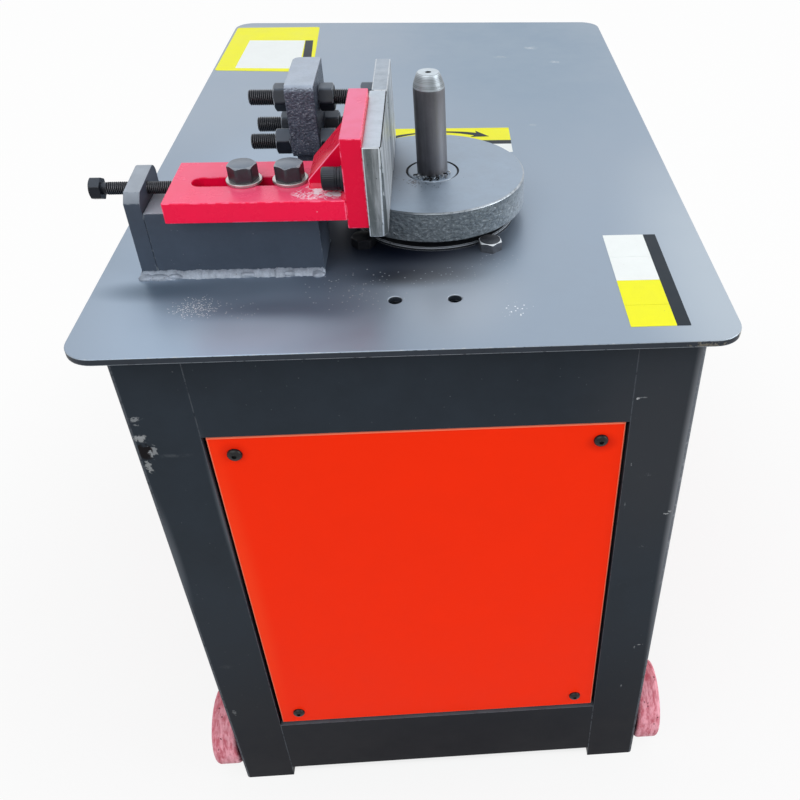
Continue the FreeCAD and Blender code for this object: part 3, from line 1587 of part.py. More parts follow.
def make_axle_pins():
    """Washers on both sides of each wheel and a split pin through each end of the axle."""
    hub_outer = -wheel_outer_x + wheel_hub_recess
    washers = []
    for x0 in (-half_width - side_gap - axle_washer_thickness, hub_outer - side_gap - axle_washer_thickness):
        disc = rod_x(axle_washer_radius, x0, x0 + axle_washer_thickness, (wheel_y, wheel_z))
        washers.append(disc.cut(rod_x(axle_radius + running, x0 - past, x0 + axle_washer_thickness + past,
                                      (wheel_y, wheel_z))))
    pin = rod_z(split_pin_radius, (-axle_end + split_pin_radius + split_pin_setback, wheel_y),
                wheel_z - axle_radius - split_pin_overhang, wheel_z + axle_radius + split_pin_overhang)
    solids = washers + [pin]
    return solids + [mirrored_x(s) for s in solids]


def build():
    """Make every sub-part and write it."""
    os.makedirs("parts", exist_ok=True)
    save("table_plate", make_table())
    for made in (make_posts(), make_rails(), make_panels()):
        for name, shape in made.items():
            save(name, shape)
    save("panel_strips", make_strips())
    save("panel_screws", make_panel_screws())
    save("base_block", make_base_block())
    save("screw_lug", make_lug())
    save("adjusting_screw", make_adjusting_screw())
    save("slide_plate", make_slide_plate())
    save("jaw_plate", make_jaw_plate())
    save("gusset", make_gusset())
    save("clamp_bolts", make_clamp_bolts())
    save("clamp_washers", make_clamp_washers())
    save("front_jaw", make_front_jaw())
    save("jaw_screws", make_jaw_screws())
    save("rear_jaw", make_rear_jaw())
    save("jaw_studs", make_studs())
    save("stud_nuts", make_stud_nuts())
    save("jam_nuts", make_jam_nuts())
    save("abutment", make_abutment())
    save("work_disc", make_disc())
    save("centre_pin", make_pin())
    save("spindle", make_spindle())
    save("main_gear", gear_wheel(main_module, spindle_at, main_gear_bottom, main_gear_top,
                                 main_gear_hub_radius, main_seat_radius + fit, 90))
    save("mid_shaft", make_mid_shaft())
    save("mid_gear", gear_wheel(mid_module, mid_at, mid_gear_bottom, mid_gear_top,
                                mid_gear_hub_radius, mid_seat_radius + fit, 90))
    save("input_shaft", make_input_shaft())
    save("bearings", make_bearings())
    save("gear_case", make_gear_case())
    save("case_cover", make_case_cover())
    save("bearing_cap", make_bearing_cap())
    save("case_bolts", make_case_bolts())
    save("cover_screws", make_cover_screws())
    save("input_pulley", make_pulley(input_at, input_pulley_pitch_radius, input_journal_radius + fit, True))
    save("motor_pulley", make_pulley(motor_at, motor_pulley_pitch_radius, motor_shaft_radius + fit, False))
    save("v_belts", [make_belt(z) for z in groove_centres()])
    save("motor_shaft", rod_z(motor_shaft_radius, motor_at, motor_plate_bottom - motor_shaft_depth,
                              pulley_top + motor_shaft_end))
    save("motor_housing", make_motor_housing())
    save("motor_hangers", make_motor_hangers())
    save("motor_plate", make_motor_plate())
    save("motor_bolts", make_motor_bolts())
    save("control_box", make_control_box())
    save("cable_gland", make_cable_gland())
    wheel = make_wheel()
    save("left_wheel", wheel)
    save("right_wheel", mirrored_x(wheel))
    save("wheel_axle", make_axle())
    save("axle_plates", make_axle_plates())
    save("axle_pins", make_axle_pins())


build()
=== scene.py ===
"""Looks of a rebar stirrup bending machine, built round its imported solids.

Metres. X to the operator's right, Y away from the operator, Z up; the origin is on the floor
under the middle of the table. Every piece rides on the body of the solid it stands for.
"""

import json
import logging
import math
from dataclasses import dataclass, replace
from enum import Enum
from typing import Callable, Iterable, Optional, Sequence, Union

import bmesh
import bpy
import numpy as np
from mathutils import Matrix

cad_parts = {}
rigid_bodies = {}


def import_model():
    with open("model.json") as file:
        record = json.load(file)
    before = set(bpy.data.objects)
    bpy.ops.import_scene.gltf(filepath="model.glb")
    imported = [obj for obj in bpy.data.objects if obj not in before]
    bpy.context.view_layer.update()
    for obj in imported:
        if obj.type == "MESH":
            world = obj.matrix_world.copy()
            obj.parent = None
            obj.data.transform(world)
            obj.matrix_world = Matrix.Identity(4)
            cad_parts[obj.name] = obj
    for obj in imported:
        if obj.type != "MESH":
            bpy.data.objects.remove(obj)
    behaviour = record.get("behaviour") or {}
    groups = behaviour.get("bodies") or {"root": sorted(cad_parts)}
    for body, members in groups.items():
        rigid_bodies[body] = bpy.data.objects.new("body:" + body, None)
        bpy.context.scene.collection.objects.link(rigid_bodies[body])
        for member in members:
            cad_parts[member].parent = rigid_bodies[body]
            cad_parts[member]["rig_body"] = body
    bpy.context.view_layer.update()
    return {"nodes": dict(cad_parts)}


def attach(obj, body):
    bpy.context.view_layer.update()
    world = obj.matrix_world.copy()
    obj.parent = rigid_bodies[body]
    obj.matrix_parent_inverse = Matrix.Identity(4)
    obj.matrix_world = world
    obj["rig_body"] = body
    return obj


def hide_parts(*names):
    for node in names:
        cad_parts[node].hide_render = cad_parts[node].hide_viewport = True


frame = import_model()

log = logging.getLogger("bender")

MM = 0.001
Colour = tuple[float, float, float]
Spot = tuple[float, float, float]
Pair = tuple[float, float]
Array = np.ndarray
Piece = bpy.types.Object
Socket = bpy.types.NodeSocket
Tree = bpy.types.NodeTree
Value = Union[float, int, Sequence[float], Socket]

body_of = {name: node["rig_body"] for name, node in frame["nodes"].items()}


class Axis(Enum):
    """Direction that a turned or hexagonal shape is built along."""

    X = "x"
    Y = "y"
    Z = "z"

    def place(self, u: Array, v: Array, w: Array) -> Array:
        """Points from two coordinates across the axis, u and v, and one along it, w.

        Args:
            u: First coordinate across the axis: Y for an X axis, otherwise X.
            v: Second coordinate across it: Y for a Z axis, otherwise Z.
            w: Coordinate along it.

        Returns:
            The points as one array whose last side is X, Y, Z.
        """
        order = {Axis.X: (w, u, v), Axis.Y: (u, w, v), Axis.Z: (u, v, w)}[self]
        return np.stack(order, axis=-1)


# Meshes


@dataclass
class Shell:
    """A mesh in the making: points in metres and faces as lists of point numbers."""

    points: Array
    faces: list[list[int]]

    @staticmethod
    def grid(points: Array, round_u: bool = False, round_v: bool = False) -> "Shell":
        """Quads over a grid of points; a round side joins its last row to its first.

        Args:
            points: Array of rows, columns and X, Y, Z.
            round_u: The rows close on themselves.
            round_v: The columns close on themselves.

        Returns:
            The shell, open where it isn't round.
        """
        rows, columns = points.shape[:2]
        i = np.arange(rows if round_u else rows - 1)[:, None]
        j = np.arange(columns if round_v else columns - 1)[None, :]
        i2, j2 = (i + 1) % rows, (j + 1) % columns
        corners = [i * columns + j, i2 * columns + j, i2 * columns + j2, i * columns + j2]
        return Shell(points.reshape(-1, 3), np.stack(corners, axis=-1).reshape(-1, 4).tolist())

    @staticmethod
    def slab(outline: Array, low: float, high: float) -> "Shell":
        """A flat plate: its outline in plan, carried straight up.

        Args:
            outline: Rows of (x, y) in millimetres, in order round it.
            low: Height of its underside.
            high: Height of its top.

        Returns:
            The closed shell.
        """
        n = len(outline)
        points = np.vstack([np.c_[outline, np.full(n, low)], np.c_[outline, np.full(n, high)]])
        k = np.arange(n)
        sides = np.stack([k, (k + 1) % n, (k + 1) % n + n, k + n], axis=1).tolist()
        return Shell(MM * points, sides + [list(range(n)), list(range(n, 2 * n))])

    @staticmethod
    def join(shells: Iterable["Shell"]) -> "Shell":
        """One shell that holds all the given ones."""
        points: list[Array] = []
        faces: list[list[int]] = []
        start = 0
        for shell in shells:
            points.append(shell.points)
            faces += [[k + start for k in face] for face in shell.faces]
            start += len(shell.points)
        return Shell(np.concatenate(points), faces)

    def piece(self, name: str, smooth_degrees: float = 35.0) -> Piece:
        """Makes the object: merged, its faces outwards, smooth below an angle.

        Args:
            name: Name of the piece.
            smooth_degrees: Edges that turn by more than this stay sharp.

        Returns:
            The linked object, at the world origin.
        """
        mesh = bpy.data.meshes.new(name)
        mesh.from_pydata(self.points.tolist(), [], self.faces)
        work = bmesh.new()
        work.from_mesh(mesh)
        bmesh.ops.remove_doubles(work, verts=work.verts, dist=0.002 * MM)
        bmesh.ops.dissolve_degenerate(work, edges=work.edges, dist=0.001 * MM)
        bmesh.ops.recalc_face_normals(work, faces=work.faces)
        work.to_mesh(mesh)
        work.free()
        return link(mesh, name, smooth_degrees)


def link(mesh: bpy.types.Mesh, name: str, smooth_degrees: float) -> Piece:
    """Links a mesh as an object of that name, smooth below an angle, with its edge mask.

    Args:
        mesh: The finished mesh.
        name: Name of the piece.
        smooth_degrees: Edges that turn by more than this stay sharp.

    Returns:
        The object.
    """
    mesh.shade_smooth()
    mesh.set_sharp_from_angle(angle=math.radians(smooth_degrees))
    if "edge" not in mesh.attributes:
        mesh.attributes.new("edge", "FLOAT", "FACE")
    made = bpy.data.objects.new(name, mesh)
    bpy.context.scene.collection.objects.link(made)
    return made


def turned(
    profile: Sequence[Pair],
    at: Pair,
    axis: Axis,
    steps: int = 96,
    ripple: Optional[Callable[[Array], Array]] = None,
) -> Shell:
    """A profile carried round an axis: each point is (r cos a, r sin a) across it and h along it.

    Args:
        profile: (radius, height) in millimetres, in order along the surface.
        at: Where the axis crosses its plane, in millimetres.
        axis: Direction of the axis.
        steps: Number of steps round.
        ripple: Takes the points in metres and gives how far each moves away from the axis.

    Returns:
        A closed shell: profile ends on the axis become poles, and a loop joins its ends.
    """
    line = np.array(profile, float)
    angle = np.arange(steps) * (2 * math.pi / steps)
    radius = np.repeat(line[:, :1], steps, axis=1)
    height = np.repeat(line[:, 1:], steps, axis=1)

    def points(r: Array) -> Array:
        """The points in metres for these radii."""
        return MM * axis.place(at[0] + r * np.cos(angle), at[1] + r * np.sin(angle), height)

    grid = points(radius)
    if ripple is not None:
        move = ripple(grid.reshape(-1, 3)).reshape(radius.shape) / MM
        grid = points(np.where(radius > 0, radius + move, 0.0))
    return Shell.grid(grid, round_u=line[0, 0] > 0 and line[-1, 0] > 0, round_v=True)


def rod(radius: float, low: float, high: float, at: Pair, axis: Axis, steps: int = 32) -> Shell:
    """A plain round bar from low to high along its axis."""
    return turned([(0, low), (radius, low), (radius, high), (0, high)], at, axis, steps)


def hexagonal(
    flats: float,
    at: Spot,
    axis: Axis,
    length: float,
    turn: float,
    bore: float = 0.0,
    crowned: tuple[bool, bool] = (True, True),
) -> Shell:
    """A nut or bolt head: r = (flats / 2) / cos(angle from the flat), cut by a 30 degree cone.

    The cone at a crowned end lets r be at most the end's face, 0.475 flats, plus the cone's slope,
    1.732, times the depth below the end. The corners are blunted by a quarter of a millimetre.

    Args:
        flats: Width across flats in millimetres.
        at: Middle of the end at the low side of the axis, in millimetres.
        axis: Direction of its length.
        length: Its length in millimetres.
        turn: Angle of its first corner in degrees.
        bore: Radius of its hole in millimetres, 0 for none.
        crowned: Whether the low and the high end have the cone.

    Returns:
        The closed shell.
    """
    round_it = np.arange(0.0, 360.0, 5.0)
    angle = np.radians(turn + round_it)
    from_flat = np.radians(round_it % 60.0 - 30.0)
    blunting, slope, face = 0.25, 1.732, 0.475 * flats
    plain = np.minimum(flats / 2 / np.cos(from_flat), flats / math.sqrt(3) - blunting)
    cone_run = flats * 0.06
    depths = np.array([0, 0.12, 0.3, 0.5, 0.75, 1.0]) * cone_run
    stations = np.concatenate([depths, length - depths[::-1]])
    low = face + slope * stations if crowned[0] else flats + 0 * stations
    high = face + slope * (length - stations) if crowned[1] else flats + 0 * stations
    radius = np.minimum(plain[None, :], np.minimum(low, high)[:, None])
    rim = radius[:1] * 0 + bore
    radius = np.concatenate([rim, radius, rim])
    along = np.concatenate([[0.0], stations, [length]])[:, None] + radius * 0
    u, v = radius * np.cos(angle), radius * np.sin(angle)
    centre = {Axis.X: (at[1], at[2], at[0]), Axis.Y: (at[0], at[2], at[1]), Axis.Z: at}[axis]
    grid = axis.place(centre[0] + u, centre[1] + v, centre[2] + along)
    return Shell.grid(MM * grid, round_u=bore > 0, round_v=True)


def threaded(
    radius: float, at: Pair, start: float, end: float, pitch: float, bevel: float
) -> Shell:
    """A screw thread along X: the crest runs as a helix, x = (turns + angle / 360) pitch.

    Each turn has five rows, whose share of the thread's depth, 0.62 pitch, makes its profile.

    Args:
        radius: Outer radius in millimetres.
        at: (Y, Z) of its axis in millimetres.
        start: Lower end along X.
        end: Upper end along X.
        pitch: Distance between crests.
        bevel: Length of the coned ends.

    Returns:
        The closed shell.
    """
    steps = 28
    shape = np.array([0.0, 0.06, 0.85, 1.0, 0.60])
    per_turn, depth = len(shape), 0.62 * pitch
    angle = np.arange(steps + 1) * (2 * math.pi / steps)
    count = int((end - start) / pitch * per_turn) + per_turn + 2
    row = np.arange(-per_turn, count)[:, None]
    x = np.clip(start + (row / per_turn + angle / (2 * math.pi)) * pitch, start, end)
    r = radius - depth * shape[np.mod(row, per_turn)] + 0 * angle
    cone = radius - bevel + np.minimum(x - start, end - x)
    pole = np.zeros_like(r[:1])
    r = np.concatenate([pole, np.minimum(r, cone), pole])
    x = np.concatenate([x[:1] * 0 + start, x, x[:1] * 0 + end])
    grid = Axis.X.place(at[0] + r * np.cos(angle), at[1] + r * np.sin(angle), x)
    return Shell.grid(MM * grid)


def noise(points: Array, cell: float, seed: int) -> Array:
    """Value noise: whole-number corners get a hashed value, and smoothstep blends between them.

    The hash multiplies each whole coordinate by a large prime, joins the three by exclusive or
    and stirs the bits.

    Args:
        points: The points.
        cell: Size of a cell, in the points' own unit.
        seed: Changes the pattern.

    Returns:
        One value from -1 to 1 for each point.
    """
    place = points / cell + seed * 17.31
    low = np.floor(place)
    part = place - low
    part = part * part * (3 - 2 * part)
    low = low.astype(np.int64)
    primes, word = np.array([73856093, 19349663, 83492791]), 0xFFFFFFFF
    total = np.zeros(len(points))
    for corner in np.ndindex(2, 2, 2):
        k = (low + corner) * primes
        k = (k[:, 0] ^ k[:, 1] ^ k[:, 2]) & word
        for shift, factor in ((15, 0x2C1B3C6D), (12, 0x297A2D39)):
            k = ((k ^ (k >> shift)) * factor) & word
        share = np.prod(np.where(corner, part, 1 - part), axis=1)
        total += share * ((k ^ (k >> 15)) & 0xFFFF) / 32767.5
    return total - 1.0


def bead(
    line: Sequence[Spot],
    away: Sequence[Pair],
    width: float,
    height: float,
    seed: int,
    closed: bool = False,
) -> Shell:
    """A fillet weld along a line in plan: a nearly flat face whose reach swells with each ripple.

    Across the bead the face is (cos a ^ 1.6, sin a ^ 1.6) times its reach, a from 0 to 90 degrees.
    Its ripples, 3.4 mm apart, add 0.06 to the reach, and a coarse and a fine noise 0.16 each.

    Args:
        line: Corners of the foot line, (x, y, z) in millimetres.
        away: Direction away from the wall for each corner, in plan.
        width: Reach along the floor in millimetres.
        height: Reach up the wall in millimetres.
        seed: Changes the unevenness.
        closed: The line ends where it starts.

    Returns:
        The shell; its back lies inside the wall and the floor.
    """
    step, spacing, ripple, uneven = 1.1, 3.4, 0.06, 0.16
    coarse, fine, hollow, buried = 7.0, 2.6, 1.6, 0.25
    rows = np.hstack([np.array(line, float), np.array(away, float)])
    if closed:
        rows = np.vstack([rows, rows[:1]])
    lengths = np.linalg.norm(np.diff(rows[:, :3], axis=0), axis=1)
    at = np.concatenate([[0.0], np.cumsum(lengths)])
    s = np.linspace(0, at[-1], max(8, int(at[-1] / step)))
    run = np.stack([np.interp(s, at, column) for column in rows.T], axis=1)
    place, out = run[:, :3], run[:, 3:]
    swell = ripple * np.abs(np.sin(s * math.pi / spacing)) + uneven * noise(place, coarse, seed)
    swell += uneven * noise(place, fine, seed + 1)
    ends = np.ones_like(s) if closed else np.clip(np.minimum(s, at[-1] - s) / 2.0, 0.5, 1)
    size = (0.95 + swell) * ends
    arc = np.linspace(0, math.pi / 2, 7)
    flat = np.concatenate([[-buried], np.cos(arc) ** hollow, [-buried]]) * width
    rise = np.concatenate([[0.0], np.sin(arc) ** hollow, [0.999]]) * height
    grid = np.empty((len(s), len(flat), 3))
    grid[:, :, :2] = place[:, None, :2] + out[:, None, :] * (flat[None, :] * size[:, None])[..., None]
    grid[:, :, 2] = place[:, None, 2] + rise[None, :] * size[:, None]
    body = Shell.grid(MM * grid, round_v=True)
    if not closed:
        n, m = grid.shape[:2]
        body.faces += [list(range(m)), list(range((n - 1) * m, n * m))]
    return body


def straight_bead(
    start: Spot, end: Spot, away: Pair, width: float, height: float, seed: int
) -> Shell:
    """A bead along one straight line, its wall on one side."""
    return bead([start, end], [away, away], width, height, seed)


def patch(corners: Sequence[Pair], low: float, high: float, rounding: float) -> Shell:
    """A thin plate on the table: four corners in plan, each rounded by an arc.

    Args:
        corners: (x, y) in millimetres, in order round the plate.
        low: Height of its underside.
        high: Height of its top.
        rounding: Radius of its corners.

    Returns:
        The closed shell.
    """
    p = np.array(corners, float)
    before = np.roll(p, 1, axis=0) - p
    after = np.roll(p, -1, axis=0) - p
    before /= np.linalg.norm(before, axis=1, keepdims=True)
    after /= np.linalg.norm(after, axis=1, keepdims=True)
    t = np.linspace(0, 1, 7)[None, :, None]
    start, stop = p[:, None] + before[:, None] * rounding, p[:, None] + after[:, None] * rounding
    rim = ((1 - t) ** 2 * start + 2 * t * (1 - t) * p[:, None] + t**2 * stop).reshape(-1, 2)
    return Shell.slab(rim, low, high)


def copied(node: str) -> Piece:
    """A linked copy of a solid, its loose triangles joined into whole faces."""
    work = bmesh.new()
    work.from_mesh(frame["nodes"][node].data)
    bmesh.ops.remove_doubles(work, verts=work.verts, dist=0.003 * MM)
    bmesh.ops.dissolve_limit(
        work, angle_limit=math.radians(0.6), verts=work.verts, edges=work.edges, delimit=set()
    )
    mesh = bpy.data.meshes.new(f"{node}_rough")
    work.to_mesh(mesh)
    work.free()
    rough = bpy.data.objects.new(f"{node}_rough", mesh)
    bpy.context.scene.collection.objects.link(rough)
    return rough


def modified(rough: Piece, name: str) -> bpy.types.Mesh:
    """The mesh of that name that an object's modifiers give; the object itself is removed."""
    depsgraph = bpy.context.evaluated_depsgraph_get()
    done = bpy.data.meshes.new_from_object(rough.evaluated_get(depsgraph), depsgraph=depsgraph)
    bpy.data.objects.remove(rough)
    done.name = name
    return done


def read(items: bpy.types.bpy_prop_collection, what: str) -> Array:
    """A vector property of every vertex or face, such as its normal, as rows of X, Y, Z."""
    values = np.zeros(len(items) * 3, np.float32)
    items.foreach_get(what, values)
    return values.reshape(-1, 3)


def read_slots(faces: bpy.types.bpy_prop_collection) -> Array:
    """The number of the material that each face has."""
    slots = np.zeros(len(faces), np.int32)
    faces.foreach_get("material_index", slots)
    return slots


def softened(
    node: str, width: float, segments: int = 2, bends: float = 0.0, angle: float = 32.0
) -> Piece:
    """A solid's copy with its corners rounded, and the rounded strips put in its edge mask, for rubbed paint
    and painted sheen.

    Faces that look along X, Y or Z are shaded flat: a smooth corner would tilt their whole plane.

    Args:
        node: The solid.
        width: Width of the rounding in millimetres.
        segments: Faces across it.
        bends: Edge mask for faces that look along none of X, Y and Z, such as sheet bends.
        angle: Corners that turn by more than this many degrees are rounded.

    Returns:
        The new piece.
    """
    plain, rounded = range(2)
    axis_aligned = 0.995
    rough = copied(node)
    rough.data.materials.append(None)
    rough.data.materials.append(None)
    rough.data.shade_smooth()
    bevel = rough.modifiers.new("corners", "BEVEL")
    bevel.width = width * MM
    bevel.segments = segments
    bevel.limit_method = "ANGLE"
    bevel.angle_limit = math.radians(angle)
    bevel.use_clamp_overlap = False
    bevel.material = rounded
    name = f"{node}_skin"
    done = modified(rough, name)
    slots = read_slots(done.polygons)
    straight = np.abs(read(done.polygons, "normal")).max(axis=1)
    sheet = np.where(straight < axis_aligned, bends, 0.0)
    mask = np.where(slots == rounded, 1.0, sheet).astype(np.float32)
    done.materials.clear()
    done.polygons.foreach_set("material_index", np.zeros_like(slots))
    done.attributes.new("edge", "FLOAT", "FACE").data.foreach_set("value", mask)
    made = link(done, name, 24.0)
    made.data.polygons.foreach_set("use_smooth", ~((slots == plain) & (straight > axis_aligned)))
    return made


# Shader wiring


class Wiring:
    """Adds nodes to one node tree and joins them up."""

    def __init__(self, tree: Tree) -> None:
        """Starts on a tree."""
        self.tree = tree

    def feed(self, socket: Socket, value: Value) -> None:
        """Joins a socket to another, or sets its value."""
        if isinstance(value, bpy.types.NodeSocket):
            self.tree.links.new(value, socket)
        elif isinstance(value, (tuple, list)) and socket.type == "RGBA":
            socket.default_value = (*value, 1.0) if len(value) == 3 else value
        else:
            socket.default_value = value

    def add(self, kind: str, inputs: Optional[dict] = None, **settings) -> bpy.types.Node:
        """Adds a node.

        Args:
            kind: Its type.
            inputs: Input name or number to value or socket.
            **settings: Its own properties.

        Returns:
            The node.
        """
        node = self.tree.nodes.new(kind)
        for key, value in settings.items():
            setattr(node, key, value)
        for key, value in (inputs or {}).items():
            self.feed(node.inputs[key], value)
        return node

    def math(self, operation: str, a: Value, b: Value = 0.0, clamp: bool = False) -> Socket:
        """The result of a Math node."""
        node = self.add("ShaderNodeMath", {0: a, 1: b}, operation=operation, use_clamp=clamp)
        return node.outputs[0]

    def plus(self, a: Value, b: Value, clamp: bool = False) -> Socket:
        """One value plus another."""
        return self.math("ADD", a, b, clamp)

    def minus(self, a: Value, b: Value, clamp: bool = False) -> Socket:
        """One value less another."""
        return self.math("SUBTRACT", a, b, clamp)

    def times(self, a: Value, b: Value, clamp: bool = False) -> Socket:
        """One value times another."""
        return self.math("MULTIPLY", a, b, clamp)

    def vector(self, operation: str, a: Value, b: Value) -> Socket:
        """The result of a Vector Math node on two vectors."""
        return self.add("ShaderNodeVectorMath", {0: a, 1: b}, operation=operation).outputs[0]

    def length(self, a: Value) -> Socket:
        """The length of a vector."""
        return self.add("ShaderNodeVectorMath", {0: a}, operation="LENGTH").outputs["Value"]

    def parts(self, a: Value) -> bpy.types.bpy_prop_collection:
        """The X, Y and Z of a vector."""
        return self.add("ShaderNodeSeparateXYZ", {0: a}).outputs

    def cells(self, vector: Value, scale: Value) -> tuple[Socket, Socket]:
        """How far off the middle of the nearest Voronoi cell is, and that cell's own number."""
        cell = self.add("ShaderNodeTexVoronoi", {"Vector": vector, "Scale": scale}).outputs
        number = self.add("ShaderNodeSeparateColor", {0: cell["Color"]}).outputs[0]
        return cell["Distance"], number

    def gives(self, **results: Socket) -> Tree:
        """Ends a group: joins the results to the outputs of their names and returns the tree."""
        self.add("NodeGroupOutput", results)
        return self.tree

    def spread(self, value: Value, low: float, high: float, to: Pair = (0.0, 1.0)) -> Socket:
        """A value from low to high brought smoothly to another range."""
        node = self.add(
            "ShaderNodeMapRange",
            {"Value": value, "From Min": low, "From Max": high, "To Min": to[0], "To Max": to[1]},
            interpolation_type="SMOOTHSTEP",
        )
        return node.outputs["Result"]

    def mix(self, share: Value, a: Value, b: Value) -> Socket:
        """Two colours mixed by a share; the node's colours are its sockets 6 and 7."""
        return self.add("ShaderNodeMix", {0: share, 6: a, 7: b}, data_type="RGBA").outputs[2]

    def noise(self, vector: Value, scale: Value, detail: float, rough: float = 0.5) -> Socket:
        """Noise at a scale in cells per metre."""
        node = self.add(
            "ShaderNodeTexNoise",
            {"Vector": vector, "Scale": scale, "Detail": detail, "Roughness": rough},
        )
        return node.outputs["Fac"]

    def effect(self, name: str, output: str = "Mask", **inputs) -> Socket:
        """Places a shared effect with its own values.

        Args:
            name: Name of the effect.
            output: Which of its outputs is wanted.
            **inputs: Input name to value or socket.

        Returns:
            That output.
        """
        return self.add("ShaderNodeGroup", inputs, node_tree=Effects.get(name)).outputs[output]


class Effects:
    """The surface effects that several finishes share, each built once as a node group."""

    vectors = ("Vector", "Normal", "Centre", "Reach", "Stretch")

    @staticmethod
    def get(name: str) -> Tree:
        """The group of that name, built if it isn't there yet."""
        return bpy.data.node_groups.get(name) or getattr(Effects, name)(name)

    @staticmethod
    def start(name: str, inputs: Iterable[str], outputs: Iterable[str] = ("Mask",)) -> tuple:
        """An empty group with named inputs and outputs.

        Args:
            name: Name of the group.
            inputs: Names of its inputs, each a float unless it is one of the vectors.
            outputs: Names of its float outputs.

        Returns:
            The wiring and the input sockets in order.
        """
        tree = bpy.data.node_groups.new(name, "ShaderNodeTree")
        for label in inputs:
            kind = "NodeSocketVector" if label in Effects.vectors else "NodeSocketFloat"
            tree.interface.new_socket(label, in_out="INPUT", socket_type=kind)
        for label in outputs:
            tree.interface.new_socket(label, in_out="OUTPUT", socket_type="NodeSocketFloat")
        wires = Wiring(tree)
        source = wires.add("NodeGroupInput").outputs
        return wires, *(source[label] for label in inputs)

    @staticmethod
    def blotches(name: str) -> Tree:
        """Uneven tone: a broad and a finer noise added, and swung round one half by Contrast."""
        wires, here, size, contrast = Effects.start(name, ("Vector", "Size", "Contrast"))
        cells = wires.math("DIVIDE", 1.0, size)
        broad = wires.noise(here, cells, 2.0)
        fine = wires.noise(here, wires.times(cells, 5.3), 4.0, 0.6)
        both = wires.plus(wires.times(broad, 0.6), wires.times(fine, 0.4))
        centred = wires.minus(both, 0.5)
        strong = wires.times(centred, contrast)
        return wires.gives(Mask=wires.plus(strong, 0.5, clamp=True))

    @staticmethod
    def edge_wear(name: str) -> Tree:
        """Rubbed corners and painted sheen on edges: the edge mask kept where a noise is above 0.75 times one
        minus Amount.
        """
        wires, here, edge, amount, size = Effects.start(name, ("Vector", "Edge", "Amount", "Size"))
        cells = wires.math("DIVIDE", 1.0, size)
        patchy = wires.noise(here, cells, 5.0, 0.65)
        level = wires.minus(1.0, amount)
        over = wires.minus(patchy, wires.times(level, 0.75))
        sharp = wires.times(over, 9.0, clamp=True)
        return wires.gives(Mask=wires.times(sharp, edge))

    @staticmethod
    def specks(name: str) -> Tree:
        """Small spots: cells whose middle is near and whose own number is above one minus Share."""
        wires, here, size, share = Effects.start(name, ("Vector", "Size", "Share"))
        cells = wires.math("DIVIDE", 1.0, size)
        drift = wires.add("ShaderNodeTexNoise", {
            "Vector": here, "Scale": wires.times(cells, 1.7)}).outputs["Color"]
        shift = wires.add("ShaderNodeVectorMath", {
            0: drift, "Scale": wires.times(size, 0.9)}, operation="SCALE").outputs[0]
        off, pick = wires.cells(wires.vector("ADD", here, shift), cells)
        near = wires.spread(off, 0.18, 0.34, (1.0, 0.0))
        level = wires.minus(1.0, share)
        chosen = wires.math("GREATER_THAN", pick, level)
        return wires.gives(Mask=wires.times(near, chosen))

    @staticmethod
    def dust(name: str) -> Tree:
        """Paler faces that look up, dust together with painted sheen: the normal's Z spread smoothly, thinned
        by noise.
        """
        wires, here, normal, amount = Effects.start(name, ("Vector", "Normal", "Amount"))
        level = wires.spread(wires.parts(normal)["Z"], 0.35, 0.95)
        uneven = wires.spread(wires.noise(here, 45.0, 3.0), 0.3, 0.7, (0.82, 1.0))
        both = wires.times(level, uneven)
        return wires.gives(Mask=wires.times(both, amount))

    @staticmethod
    def scratches(name: str) -> Tree:
        """Fine lines: a noise stretched forty times along the vector's X, kept near its middle."""
        wires, here, size, share = Effects.start(name, ("Vector", "Size", "Share"))
        cells = wires.math("DIVIDE", 1.0, size)
        lines = wires.noise(wires.vector("MULTIPLY", here, (0.025, 1.0, 1.0)), cells, 3.0, 0.7)
        off = wires.math("ABSOLUTE", wires.minus(lines, 0.5))
        thin = wires.minus(1.0, wires.times(off, 40.0), clamp=True)
        where = wires.noise(here, wires.times(cells, 0.12), 2.0)
        over = wires.minus(wires.plus(where, share), 0.9)
        kept = wires.times(over, 5.0, clamp=True)
        return wires.gives(Mask=wires.times(thin, kept))

    @staticmethod
    def rings(name: str) -> Tree:
        """Tool marks: a noise of one coordinate only, such as a radius, at a fine pitch."""
        wires, radius, pitch = Effects.start(name, ("Radius", "Pitch"), ("Mask", "Height"))
        turns = wires.math("DIVIDE", radius, pitch)
        fine, broad = (
            wires.add("ShaderNodeTexNoise", {"W": turns, "Scale": scale, "Detail": detail},
                      noise_dimensions="1D").outputs["Fac"]
            for scale, detail in ((1.0, 2.0), (0.11, 1.0)))
        return wires.gives(Mask=wires.spread(broad, 0.35, 0.65), Height=fine)

    @staticmethod
    def streaks(name: str) -> Tree:
        """Drawn-out tone: noise whose vector is squeezed along one direction by Stretch."""
        wires, here, stretch, size = Effects.start(name, ("Vector", "Stretch", "Size"))
        drawn = wires.vector("MULTIPLY", here, stretch)
        tone = wires.noise(drawn, wires.math("DIVIDE", 1.0, size), 6.0, 0.68)
        return wires.gives(Mask=wires.spread(tone, 0.33, 0.67))

